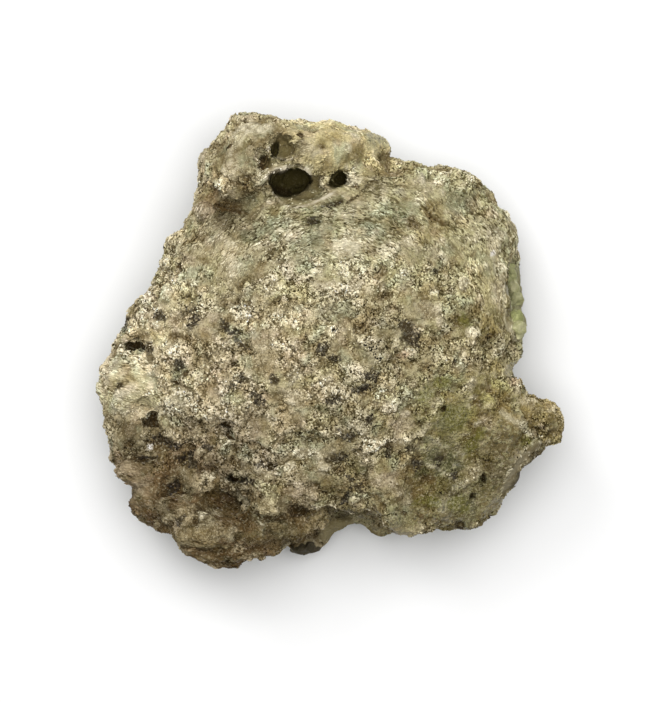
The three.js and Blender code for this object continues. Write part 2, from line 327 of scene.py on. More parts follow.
def lay_out_crust(mesh):
    corners = np.empty(len(mesh.loops), int)
    mesh.loops.foreach_get("vertex_index", corners)
    corners = corners.reshape(len(mesh.polygons), -1)
    upper = chart_spots((SIDE_TOP - places.z).clip(0), UPPER_CHART)
    under = chart_spots(places.z, UNDER_CHART)
    from_above = places.outward[corners, 2].mean(1) > 0
    spots = np.where(from_above[:, None, None], upper[corners], under[corners])
    mesh.uv_layers.new(name="OFBake").data.foreach_set("uv", spots.ravel())
    return spots


crust_map = lay_out_crust(skin)
print("the map runs from", crust_map.min((0, 1)).round(2), "to", crust_map.max((0, 1)).round(2))

# %% [markdown]
# ## Where the glass shows
# At the right the sand melted through, and on the underside, which faced the flash, it is all
# glass. There the skin is smooth and shiny and carries little sand. The two could be two materials
# with a seam between them, but the real change is gradual, so one share of glass steers the relief,
# the finish and the grains.

# %% Find the glassy places
GLASS_MARKS = [  # x, y, reach, thin, turn
    (7.6, -4.9, 1.3), (7.0, -7.4, 1.7, 0.8, -20), (6.0, -3.4, 0.8), (9.0, -10.4, 2.8, 0.55, 20),
    (10.9, -6.6, 1.4), (5.0, -11.6, 1.4, 0.6, 10), (1.6, -12.2, 2.4, 0.6), (13.0, -8.0, 1.9, 0.4, 42),
    (12.0, 2.6, 2.8, 0.35, 93), (11.4, -1.7, 0.6), (-2.4, 9.9, 1.3), (-3.0, 12.0, 0.9),
    (-4.35, 11.45, 0.5), (0.5, 10.2, 0.6), (-1.2, 9.2, 0.9), (3.0, 12.7, 1.2, 0.7, -30),
    (-1.4, -13.3, 1.0, 0.5),
]
UNDERSIDE = (0.1, -0.5)  # the upward share of a surface's direction at which glass takes over
FOOT = (2.6, 1.4)  # the height at which it takes over on the sides


def share_of_glass():
    melted = places.marks(GLASS_MARKS, fray=0.5)
    wander = 0.5 * places.noise(2.0, seed=3)
    under = ease(places.outward[:, 2] + wander, *UNDERSIDE)
    low = ease(places.z + wander, *FOOT)
    return np.maximum.reduce([melted, under, low])


glass = share_of_glass()
print("glass shows on", round(100 * glass.mean()), "percent of the skin")

# %% [markdown]
# ## Where the sand half melted
# Between loose sand and glass lies sand that fused but kept its grain: most of the near left, the
# rolled lip and patches elsewhere. It could be counted as a weaker glass, but it takes no sheen, so
# it is a share of its own. Together the two are the melt, where the surface is smoother.

# %% Find the fused places
FUSED_MARKS = [
    (-8.6, -12.2, 5.0, 0.5, -5), (-12.4, -9.4, 2.4, 0.7, -40), (-3.0, -11.4, 2.6, 0.8),
    (-12.8, -3.2, 1.6), (-11.2, 0.2, 1.8, 0.5, 40), (6.0, 9.6, 1.6, 0.6, -20),
    (-6.6, -10.6, 1.4, 0.9), (3.2, -9.2, 1.2), (-6.9, 4.9, 2.2, 0.8, 30), (8.6, -6.0, 3.6, 0.8, -60),
    (6.0, -9.6, 2.4, 0.7), (11.0, -5.6, 1.6), (4.5, -5.3, 1.0), (1.0, 5.9, 1.1, 0.6, 10),
]
LIP_MARKS = [
    (0.8, 12.3, 3.0, 0.6, -8), (-4.6, 13.2, 2.0, 0.6, 10), (-6.4, 11.6, 1.6, 0.9, 40),
    (-2.0, 13.4, 1.1, 0.6),
]

fused = np.maximum.reduce([
    0.6 * places.marks(FUSED_MARKS, fray=0.8),
    0.9 * places.marks(LIP_MARKS, fray=0.8),
    0.7 * ease(places.noise(1.6, seed=9), 0.05, 0.4),
])
melt = np.maximum(glass, fused)
print("the sand is more than half fused on", round(100 * (fused > 0.5).mean()), "percent")

# %% [markdown]
# ## Streaks
# Where the glass still flowed it was drawn out in fine streaks: round the dome at the far side, and
# level at the near left. They could be laid as curves, but there are hundreds. A noise that is
# stretched along the flow gives them all, so each corner first gets its place as a streak sees it.

# %% Draw out the streaks
STREAK_LENGTH = 1.3
STREAK_WIDTH = 0.24
RING_REACH = 9.0
LEVEL_TILT = 0.25
LEVEL_HEIGHT = 1.2
RING_STREAKS = [
    (2.0, 7.6, 7.5, 0.42), (9.6, 7.0, 3.2), (10.8, 2.6, 2.6), (-7.0, 6.6, 3.0),
    (0.0, 12.6, 3.6, 0.4, -5), (11.6, -8.8, 2.0, 0.6, 50),
]
LEVEL_STREAKS = [
    (-13.0, -2.6, 2.4, 0.8), (-12.6, -8.8, 2.2, 0.8, -20), (-8.0, -13.6, 3.0, 0.4),
    (-7.0, -10.8, 1.6, 0.8), (-10.4, -10.4, 1.2),
]


def streak_places():
    """The places as a streak sees them: long along the flow and short across it."""
    far = np.hypot(places.x, places.y)
    ring = np.arctan2(places.x, places.y) * RING_REACH
    round_dome = np.stack([ring / STREAK_LENGTH, far / STREAK_WIDTH, places.z / STREAK_WIDTH], 1)
    tilted = places.y + LEVEL_TILT * places.x
    level = np.stack([places.x / STREAK_LENGTH, tilted / STREAK_WIDTH, places.z / LEVEL_HEIGHT], 1)
    return np.where(runs_level[:, None], level, round_dome)


runs_level = (places.x < -4) & (places.y < 2)
flow = streak_places()
streaked = places.marks(RING_STREAKS + LEVEL_STREAKS, fray=0.3)
streaks = fractal(flow, 1.0, 2, seed=4)
print("the glass is drawn out on", round(100 * streaked.mean()), "percent of the skin")

# %% [markdown]
# ## Lumps, crumbs and pores
# Sand that hardly melted stays as crumbs with dark cracks between them, gas left pores in it, and
# the whole crust swells into lumps. Sculpting all that by hand would take days, and one noise looks
# the same everywhere, so each size of bump is a noise of its own. The cracks between crumbs are
# kept, because they are browner and hold less light.

# %% Grow the lumps, crumbs and pores
LUMPS = [(2.6, 0.40), (1.1, 0.42)]  # width and depth
CRUMB_WIDTH = 0.7
CRUMB_BEND = 0.2
PORE_WIDTH = 0.5

lumps = sum(depth * places.noise(width, seed=width) for width, depth in LUMPS)
bent = np.stack([places.noise(0.5, 1, seed) for seed in (31, 32, 33)], 1)
crumb = crumbs(places.points + CRUMB_BEND * bent, CRUMB_WIDTH)
porous = (1 - melt) * (1 - streaked) * ease(places.noise(2.2, seed=62), -0.5, 0.1)
pores = ease(places.noise(PORE_WIDTH, seed=61), 0.28, 0.6) * porous
print("the lumps are up to", round(lumps.max() - lumps.min(), 2), "mm high")

# %% [markdown]
# ## Bare glass
# No sand clings to the inside of a broken bubble, to its rim, to the facet under the horn or to the
# line along the shelf. These are smooth and narrow, so a noise can't find them: they are marks, and
# lines from stop to stop. The relief, the colours and the grains all ask for their share.

# %% Find the bare glass
OPEN_BUBBLES = [  # x, y, reach, thin, turn, depth
    (-2.2, 10.15, 0.95, 0.95, 0, 1.2), (-3.2, 10.05, 0.74, 0.9, 0, 1.0),
    (-2.95, 9.62, 0.75, 0.75, -8, 1.1), (0.45, 10.2, 0.72, 0.7, 38, 0.9),
]
BUBBLES = [shape for *shape, _ in OPEN_BUBBLES] + [(-3.57, 12.0, 0.62, 0.4, 74)]
BUBBLE_SLOPES = [
    (-2.0, 9.0, 1.4, 0.4, 14), (-0.95, 10.0, 0.4, 1.5), (-2.9, 12.1, 0.8, 0.95),
    (-3.95, 11.1, 0.28, 1.6),
]
BARE_GLASS = [
    (0.3, -12.3, 1.6, 0.45, 40), (-1.5, -13.3, 1.1, 0.5, 15), (12.6, -8.35, 1.8, 0.3, 42),
    (12.0, 2.4, 2.3, 0.22, 93),
]
RIMS = [  # half-width, then the stops
    (0.19, (-4.0, 10.2), (-3.45, 10.65), (-2.4, 10.9), (-1.6, 10.8), (-1.25, 10.45)),
    (0.09, (-3.7, 9.3), (-3.1, 8.7), (-2.5, 8.35), (-1.4, 8.5), (-0.4, 9.0), (0.3, 9.4)),
    (0.08, (-3.9, 12.1), (-3.6, 11.5), (-2.9, 11.35), (-2.2, 11.5)),
]
FACET = (0.18, (13.35, -6.6), (12.3, -7.15), (11.75, -7.95), (11.3, -8.85), (11.1, -9.6))
SHELF_LINE = (
    0.1, (10.2, 5.45), (10.6, 4.26), (10.95, 3.14), (11.05, 2.05), (11.3, 0.64), (11.8, -0.1),
)
RIM_SPREAD = 1.7  # how many times as wide as its pale line a rim is bare


def bare_glass():
    wide_rims = [(RIM_SPREAD * width, *stops) for width, *stops in RIMS]
    bare = np.maximum.reduce([
        places.marks(BUBBLES, fray=0.25, edge=(1.2, 0.95)),
        0.95 * places.lines(wide_rims + [FACET, SHELF_LINE]),
        0.9 * places.marks(BUBBLE_SLOPES + BARE_GLASS, fray=0.3),
    ])
    return bare * ease(places.outward[:, 2], -0.6, -0.3)


smooth = bare_glass()
print(len(BUBBLES), "bubbles are open and", len(RIMS), "rims are bare")

# %% [markdown]
# ## The relief
# The height of the skin is the sum of its bumps, each times its depth. A Displace modifier for each
# would do too, but then glass, steep sides and feet would each need a group of corners. In one sum
# they are factors: glass is smoother, the sides are calmer, and at the ground the relief dies out.

# %% Work out the relief
CRUMB_DEPTH = 0.22
PORE_DEPTH = 0.3
STREAK_DEPTH = 0.16
GLASS_SMOOTHNESS = 0.7
BARE_SMOOTHNESS = 0.9


def relief():
    rough = (1 - GLASS_SMOOTHNESS * melt) * (1 - BARE_SMOOTHNESS * smooth)
    height = lumps + CRUMB_DEPTH * (crumb - 0.6) * (1 - 0.7 * streaked) - PORE_DEPTH * pores
    height += STREAK_DEPTH * streaks * streaked
    calm = 0.6 + 0.4 * ease(places.outward[:, 2], 0.0, 0.5)
    return height * rough * calm * ease(places.z, 0.02, 0.6)


height = relief()
print("the relief runs from", round(height.min(), 2), "to", round(height.max(), 2), "mm")

# %% [markdown]
# ## Lumps and pits of their own
# Half-loose lumps stand on the crust, most of all at the near left, round on top and steep at the
# foot. Bubbles that reached the surface left pits with crisp walls, and creases run where two lumps
# met. The large ones are in the solid. The small ones could be modelled and joined on, but a joint
# would tear the even skin, so the skin itself is raised and pressed in.

# %% Shape the lumps
RAISED = [  # x, y, reach, thin, turn, height
    (-3.7, -10.65, 1.0, 0.66, 0, 0.35), (-3.9, -9.4, 0.9, 0.7, 0, 0.3),
    (-3.35, -11.85, 0.7, 0.6, 0, 0.5), (-1.0, -11.8, 0.9, 0.6, 45, 0.5),
    (-8.1, -9.2, 1.1, 0.75, -15, 0.5), (-9.3, -11.15, 0.62, 1.2, 0, 0.55),
    (-8.2, -11.2, 0.36, 1.0, 0, 0.35), (-8.2, -12.45, 2.1, 0.4, 2, 0.55),
    (-5.0, -12.4, 0.9, 0.8, 0, 0.35), (-2.1, -12.3, 1.0, 0.5, 35, 0.5),
    (-12.3, -9.4, 1.4, 0.7, -40, 0.3), (-8.1, 8.1, 0.65, 0.9, 0, 0.35),
    (-7.6, 8.2, 0.35, 0.9, 0, 0.25), (11.0, -6.4, 1.1, 0.8, -30, 0.2), (1.0, 5.9, 1.0, 0.6, 10, 0.12),
    (-6.5, -6.55, 0.4, 0.6, 0, 0.2), (-9.7, -3.25, 0.42, 0.6, -10, 0.15),
]
LUMP_ROUNDNESS = 0.45


def heights(spots, power=1.0, **how):
    """The height, or the depth, of the most marked of these spots at each place."""
    height = np.zeros(len(places.points))
    for *shape, most in spots:
        height = np.maximum(height, most * places.mark(*shape, **how) ** power)
    return height


lift = heights(RAISED, LUMP_ROUNDNESS, fray=0.35, edge=(1.1, 0.1))
print("raised", len(RAISED), "lumps by up to", round(lift.max(), 2), "mm")

# %% Shape the pits, hollows and creases
PITS = [  # x, y, reach, thin, turn, depth
    (-11.4, -5.1, 0.47, 1.1, 0, 1.0), (-12.42, -0.42, 0.6, 0.52, 12, 0.9),
    (-9.9, -2.67, 0.36, 0.6, -20, 0.6), (-9.0, -2.2, 0.25, 0.8, 0, 0.4),
    (-6.45, -5.35, 0.44, 0.75, 0, 0.9), (-6.5, -6.05, 0.36, 0.5, -10, 0.6),
    (-3.7, -7.93, 0.36, 0.75, 0, 0.8), (-6.0, -8.9, 0.7, 0.5, 0, 1.1),
    (7.15, -4.35, 0.18, 1.0, 0, 0.4), (9.68, -8.8, 0.3, 0.65, 85, 0.8),
    (9.0, -9.95, 0.2, 0.9, 60, 0.6), (4.7, -11.0, 0.16, 1.0, 0, 0.3), (8.2, -11.7, 0.36, 0.6, 0, 0.3),
    (3.6, -6.8, 0.22, 0.8, 0, 0.4), (-9.3, 5.1, 0.22, 0.8, 0, 0.3), (-9.6, 4.7, 0.2, 1.0, 0, 0.3),
    (-3.57, 12.0, 0.6, 0.42, 74, 0.5), (-4.25, 11.1, 0.62, 0.62, 78, 0.8),
    (-1.95, 12.95, 0.36, 0.7, 80, 0.3), (-7.95, -9.2, 0.18, 1.0, 0, 0.4),
    (1.6, 9.75, 0.26, 0.7, 10, 0.4), (-6.6, 12.3, 0.3, 0.6, 30, 0.3),
    (-2.0, -10.9, 0.7, 0.5, -8, 0.8), (-2.28, -9.27, 0.14, 1.0, 0, 0.3),
] + OPEN_BUBBLES
HOLLOWS = [  # the same, with soft edges
    (-6.4, -10.2, 0.85, 1.1, 0, 0.6), (-7.3, -11.1, 0.6, 0.8, 0, 0.3),
    (-2.85, 12.05, 1.0, 0.85, -10, 0.7), (-1.9, 9.3, 1.4, 0.5, 15, 0.4),
    (-0.9, 10.0, 0.7, 1.0, 0, 0.35), (-6.8, 8.1, 1.2, 0.5, -10, 0.3),
    (-9.85, -9.3, 0.7, 0.85, 0, 0.5), (-10.9, -6.6, 0.9, 0.6, -30, 0.3),
    (-12.8, -6.7, 0.5, 0.6, 10, 0.35), (-8.9, -7.7, 0.7, 0.7, 0, 0.2),
    (-0.4, -0.6, 0.4, 0.8, -40, 0.2),
]
CREASES = [  # half-width, then the stops
    (0.13, (-12.6, -7.5), (-11.8, -7.7), (-11.05, -7.65)),
    (0.14, (-8.5, -11.0), (-8.45, -11.9)),
    (0.20, (-5.6, -10.6), (-5.35, -11.9)),
    (0.15, (-0.96, -9.2), (-0.45, -9.8), (0.05, -10.1)),
    (0.22, (-7.2, 8.35), (-6.2, 8.05), (-5.4, 8.1)),
    (0.08, (1.0, 8.6), (1.8, 9.1), (2.6, 9.9), (3.2, 10.0)),
    (0.14, (-10.3, -13.2), (-9.0, -13.15), (-7.6, -13.4), (-6.4, -13.3), (-5.9, -12.6)),
    (0.10, (-0.3, -11.1), (-1.1, -12.1), (-2.0, -12.7), (-2.7, -13.4)),
    (0.16, (-4.9, -10.8), (-4.4, -11.3), (-3.7, -11.45), (-2.9, -11.2)),
    (0.10, (11.4, 5.0), (11.5, 3.4), (11.3, 1.8), (11.9, 0.3)),
    (0.14, (14.2, -6.85), (12.9, -7.35), (12.25, -8.15), (11.85, -9.0), (11.4, -9.75)),
]
CREASE_DEPTH = 0.28
CRISP = (1.06, 0.82)
PIT_FRAY = 0.25

visible = ease(places.outward[:, 2], -0.1, 0.1)
pit_shapes = [shape for *shape, _ in PITS]
inside = places.marks(pit_shapes, fray=PIT_FRAY, edge=CRISP) * visible
creased = places.lines(CREASES) * visible
lift -= heights(PITS, fray=PIT_FRAY, edge=CRISP)
lift -= heights(HOLLOWS, fray=0.8, edge=(1.3, 0.3))
lift -= CREASE_DEPTH * creased
print("pressed in", len(PITS), "pits,", len(HOLLOWS), "hollows and", len(CREASES), "creases")

# %% [markdown]
# ## The outline
# The edge of the crust broke off unevenly: small knobs stand out of it and small bays cut into it.
# A lift can't make those, because it is straight up, so at each of them the skin moves sideways.
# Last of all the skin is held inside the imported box.

# %% Move the skin
SIDES = [  # x, y, reach, how far the side stands out
    (-1.4, -13.3, 1.2, 0.42), (-0.2, -12.9, 0.6, 0.15), (1.0, -12.0, 0.8, 0.25),
    (3.6, -12.3, 1.1, 0.4), (12.0, -1.1, 0.9, 0.45), (12.3, 0.8, 1.0, 0.3), (3.6, 12.5, 0.9, 0.3),
    (9.0, -11.8, 1.3, 0.2), (13.0, -7.5, 1.0, 0.3), (-10.9, -12.1, 0.8, 0.2), (11.8, -9.0, 0.7, 0.25),
    (7.9, 10.9, 0.6, 0.2), (5.5, 11.2, 0.6, 0.2), (-8.7, 9.9, 1.2, -0.25), (-7.5, 12.9, 1.6, -0.43),
    (-4.6, 14.3, 1.4, -0.15), (-1.8, 14.4, 1.8, -0.4), (1.4, 13.9, 1.1, -0.28),
    (13.3, -3.3, 1.3, -0.35), (12.7, -3.4, 0.6, -0.25), (11.3, 8.3, 1.5, -0.3),
    (-12.0, 3.3, 1.1, -0.45), (-9.8, 7.3, 0.9, -0.35), (-4.3, -14.1, 0.9, -0.35),
    (-14.3, -7.0, 1.0, -0.25), (-13.8, -8.0, 0.5, 0.06), (-13.5, -8.8, 0.8, -0.22),
    (-12.8, -9.6, 0.4, 0.12), (-8.6, 11.4, 0.8, -0.12), (-8.5, -14.3, 1.2, -0.2),
    (-14.5, -1.0, 1.0, -0.2), (6.6, -12.4, 0.7, -0.3), (-6.0, -14.5, 0.6, 0.2),
    (14.2, -6.9, 0.6, -0.2), (-13.6, 0.6, 0.7, -0.2), (12.5, 1.95, 0.4, -0.2),
]


def stand_out():
    """How far each place moves sideways."""
    way = np.zeros(len(places.points))
    for x, y, reach, how_far in SIDES:
        way += how_far * places.mark(x, y, reach, fray=0.0, edge=(1.3, 0.2))
    return places.outward * (1, 1, 0) * way[:, None]


low_corner, high_corner = (np.array(corner) / MM for corner in cad_box)
surface = places.points + places.outward * height[:, None] + stand_out()
surface[:, 2] += lift * ease(places.outward[:, 2], 0.05, 0.4)
surface = np.clip(surface, low_corner, high_corner)
skin.vertices.foreach_set("co", surface.ravel())
skin.update()
moved = np.linalg.norm(surface - places.points, axis=1)
print("the skin moved by up to", round(moved.max(), 2), "mm")

# %% [markdown]
# ## Colours
# The crust is tan sand over olive glass, and each part of it has its own shade. Those could be
# materials with borders between them, but they run into each other like wet paint, so each shade is
# a wash that fades into the next. Colours are linear and rather deep, because the table's light is
# strong.

# %% Lay down the washes
WASHES = [  # x, y, reach, colour
    (-12.5, -2.5, 2.5, (0.48, 0.41, 0.26)), (-9.0, -1.0, 3.0, (0.42, 0.355, 0.22)),
    (-7.0, 4.0, 3.0, (0.38, 0.33, 0.2)), (-4.0, -2.0, 3.0, (0.34, 0.285, 0.175)),
    (-6.0, -6.0, 2.0, (0.27, 0.225, 0.155)), (0.5, -0.5, 3.0, (0.35, 0.3, 0.18)),
    (5.0, -1.0, 2.5, (0.29, 0.255, 0.15)), (0.0, 6.5, 3.0, (0.33, 0.305, 0.19)),
    (7.0, 6.0, 3.0, (0.33, 0.3, 0.17)), (10.5, 2.0, 2.0, (0.31, 0.27, 0.14)),
    (12.3, 2.8, 0.9, (0.3, 0.28, 0.16)), (-6.0, 11.5, 2.2, (0.36, 0.31, 0.19)),
    (0.8, 12.2, 2.0, (0.56, 0.47, 0.235)), (7.6, -4.6, 1.8, (0.192, 0.174, 0.066)),
    (7.4, -7.8, 1.8, (0.134, 0.121, 0.049)), (9.0, -10.6, 1.8, (0.155, 0.13, 0.06)),
    (11.0, -6.3, 1.2, (0.25, 0.2, 0.1)), (13.4, -5.2, 1.2, (0.235, 0.19, 0.086)),
    (3.2, -6.5, 2.4, (0.215, 0.185, 0.11)), (1.0, -9.0, 1.8, (0.21, 0.18, 0.105)),
    (-2.6, -8.4, 1.8, (0.3, 0.255, 0.165)), (-9.5, -9.0, 2.0, (0.136, 0.093, 0.055)),
    (-11.6, -10.2, 1.6, (0.085, 0.055, 0.028)), (-8.2, -12.4, 1.6, (0.134, 0.092, 0.05)),
    # (-7.0, -10.8) is the darkest brown: it also paints the shade in the hollow there
    (-6.5, -14.2, 1.2, (0.094, 0.061, 0.032)), (-7.0, -10.8, 1.2, (0.06, 0.037, 0.019)),
    (-2.0, -12.0, 1.2, (0.107, 0.079, 0.047)), (1.8, -12.2, 1.2, (0.11, 0.09, 0.045)),
    (13.2, -8.2, 0.8, (0.13, 0.115, 0.09)),
]


def washed():
    total = np.zeros((len(places.points), 3))
    weight = np.full(len(places.points), 1e-9)
    for x, y, reach, colour in WASHES:
        near = places.near(x, y, reach)
        total += near[:, None] * np.array(colour)
        weight += near
    return total / weight[:, None]


tint = washed()
print("washed with", len(WASHES), "colours")

# %% [markdown]
# ## Mottle
# Melted sand is never one colour: iron stains it ochre and olive in patches. The heights are made
# cream and the dips brown, partly wear and dust and partly painted light on the heights and painted
# shade in the dips. Marks for all that would run into thousands. It looks the same everywhere, so
# here noise does serve, and the cream and the brown follow the lumps as well.

# %% Mottle the washes
CREST_WEAR_AND_LIGHT = (0.64, 0.56, 0.38)
DIP_DUST_AND_SHADE = (0.085, 0.055, 0.02)
STAINS = [  # size of its patches, strength, colour
    (1.4, 0.5, (0.22, 0.24, 0.16)), (0.9, 0.4, (0.30, 0.23, 0.12)), (1.1, 0.35, (0.40, 0.32, 0.24)),
    (1.6, 0.35, (0.23, 0.215, 0.10)),
]


def stained(colours):
    for number, (size, strength, colour) in enumerate(STAINS):
        patch = ease(places.noise(size, 3, seed=40 + number), 0.1, 0.55)
        brightness = colours.mean(1) / np.mean(colour)
        colours = towards(colours, np.asarray(colour) * brightness[:, None], strength * patch)
    return colours


sand = 1 - 0.6 * glass
crest_height = lumps / 0.35 + 0.8 * places.noise(0.6, seed=12)
crest_height += 0.5 * places.noise(2.2, seed=13)
# cream on the heights and brown in the dips: wear and dust, and painted light and shade
tint = towards(stained(tint), CREST_WEAR_AND_LIGHT, 0.55 * ease(crest_height, 0.1, 1.1) * sand)
tint = towards(tint, DIP_DUST_AND_SHADE, 0.6 * ease(crest_height, -0.1, -1.1) * sand)
print("stained it in", len(STAINS), "kinds of patches")

# %% [markdown]
# ## Lighter and darker places
# Within a wash the crust is made lighter and darker place by place: partly its own tone, and partly
# painted shade where a lump or the lip leans over it, under the horn and below the crust's near
# edge. Washes of their own would have to guess each hue again. These change the brightness alone,
# so they are numbers that multiply.

# %% Lighten and darken places
ALL_OVER = 1.06  # how many times as bright it all is
SHADE_STRENGTH = 1.25
SHADES = [  # x, y, reach, how many times as bright
    # the darkest spots, under the lip, under the horn and at (1.1, -11.0), are painted shade
    (-7.0, 7.6, 0.5, 0.55), (-6.5, 8.0, 1.1, 0.3), (-4.5, 11.1, 0.5, 0.75), (-5.0, 8.6, 0.8, 0.7),
    (-6.6, 9.6, 0.8, 1.12), (-3.2, 11.7, 0.7, 0.7), (-0.6, 9.6, 0.9, 0.7), (2.9, 9.9, 1.0, 0.5),
    (10.0, 0.5, 1.2, 0.5), (3.9, 0.9, 0.8, 0.7), (2.7, -1.0, 0.8, 0.7), (3.3, -0.2, 0.6, 0.75),
    (1.4, -2.6, 0.7, 0.7), (0.2, -4.3, 0.7, 0.7), (1.9, -5.0, 0.6, 0.55), (-12.4, -6.7, 1.7, 0.34),
    (-14.3, -5.0, 0.7, 0.6), (-9.6, -4.6, 1.1, 0.6), (-7.7, -5.9, 0.8, 1.25), (-4.5, -5.0, 1.1, 0.75),
    (-4.3, -6.6, 0.7, 1.25), (-5.7, -8.7, 1.2, 0.5), (-5.8, -10.2, 0.8, 0.75),
    (-9.9, -9.3, 0.8, 0.45), (-10.6, -10.9, 0.9, 0.45), (-8.6, -11.0, 0.6, 0.7),
    (-7.8, -11.2, 0.8, 0.5), (-7.7, -7.3, 0.6, 0.7), (-2.9, -11.8, 0.7, 0.75), (11.3, -7.6, 1.5, 0.5),
    (12.9, -6.6, 0.9, 0.6), (10.6, -8.4, 1.0, 0.65), (8.1, -10.4, 1.2, 0.45), (7.4, -7.4, 1.0, 0.62),
    (7.2, -4.5, 0.7, 0.75), (7.9, -9.6, 0.8, 0.75), (10.3, -6.1, 0.8, 0.7), (6.5, -12.0, 0.8, 0.75),
    (1.1, -11.0, 0.7, 0.42), (12.0, 7.0, 0.8, 0.75), (11.2, 3.8, 0.7, 0.5), (10.3, 6.6, 0.7, 0.75),
    (6.3, 5.4, 0.8, 0.75), (-4.7, 3.3, 0.9, 0.75), (-8.6, 1.2, 0.8, 0.75), (-9.4, -1.8, 0.7, 0.75),
    (-1.9, 12.0, 0.8, 0.7), (-5.8, 11.8, 0.7, 0.8), (-7.2, 10.0, 1.1, 1.35), (-5.9, 14.0, 0.8, 1.2),
    (6.0, 9.0, 1.6, 1.25), (6.8, 7.2, 0.7, 1.35), (8.6, 8.9, 1.0, 1.45), (1.0, 5.5, 1.4, 1.35),
    (0.75, 5.85, 0.7, 1.35), (3.0, 4.5, 1.0, 1.85), (3.3, 6.1, 0.7, 0.72), (3.2, 8.0, 0.9, 1.3),
    (-1.4, 6.2, 0.8, 1.4), (9.4, 5.0, 0.9, 1.6), (8.8, 2.6, 1.0, 1.2), (6.2, 3.2, 0.7, 1.8),
    (4.2, 2.4, 0.8, 1.3), (1.6, 0.6, 0.8, 1.35), (-0.5, 1.5, 0.8, 1.4), (-5.4, 1.1, 0.6, 1.25),
    (-2.6, -0.9, 0.6, 1.2), (-2.8, 1.3, 2.0, 1.2), (-11.0, 0.2, 1.4, 1.3), (-9.5, 3.5, 1.6, 1.15),
    (-8.0, -2.8, 1.0, 1.25), (-8.6, -0.2, 0.6, 1.3), (-10.3, -2.1, 0.6, 1.3),
    (-12.6, -2.6, 1.6, 1.25), (-11.8, -4.4, 0.9, 1.7), (-2.2, -4.6, 0.7, 1.2), (3.1, -3.7, 0.9, 1.4),
    (4.0, -5.6, 0.9, 1.3), (3.2, -7.5, 0.9, 1.8), (5.3, -7.4, 0.8, 1.75), (6.2, -9.2, 0.7, 1.3),
    (2.2, -10.4, 1.2, 1.45), (3.4, -12.0, 0.7, 1.25), (-11.2, -8.6, 0.8, 1.4),
    (-12.0, -5.6, 0.6, 1.3), (-5.9, -6.5, 0.5, 1.3), (-12.4, -10.8, 0.8, 1.9),
    (-13.4, -8.3, 0.7, 1.3), (-4.0, -9.4, 0.7, 1.2), (-3.4, -10.5, 0.6, 1.25), (8.0, -1.0, 1.2, 1.25),
    (6.0, 0.6, 0.9, 1.2), (9.3, -4.4, 0.7, 1.45), (10.5, -3.3, 0.8, 1.55), (4.7, -1.5, 0.6, 1.25),
    (13.8, -4.2, 0.8, 1.35), (-9.4, -14.0, 0.8, 1.6), (-9.3, -10.5, 0.55, 1.6),
    (-11.6, 0.65, 0.6, 1.3), (-8.4, -3.85, 0.6, 1.25), (1.3, -10.3, 0.7, 1.4),
    (-0.6, -0.6, 0.5, 0.75), (2.6, 5.5, 0.6, 0.75), (0.0, 6.6, 0.7, 0.8), (-8.9, -13.3, 0.5, 1.3),
]


def shade():
    """How many times as bright the crust is at each place."""
    power = np.full(len(places.points), math.log(ALL_OVER))
    for x, y, reach, times in SHADES:
        power += SHADE_STRENGTH * places.near(x, y, reach) * math.log(times)
    return np.exp(power)[:, None]


tint = tint * shade()
print("lightened and darkened", len(SHADES), "places")
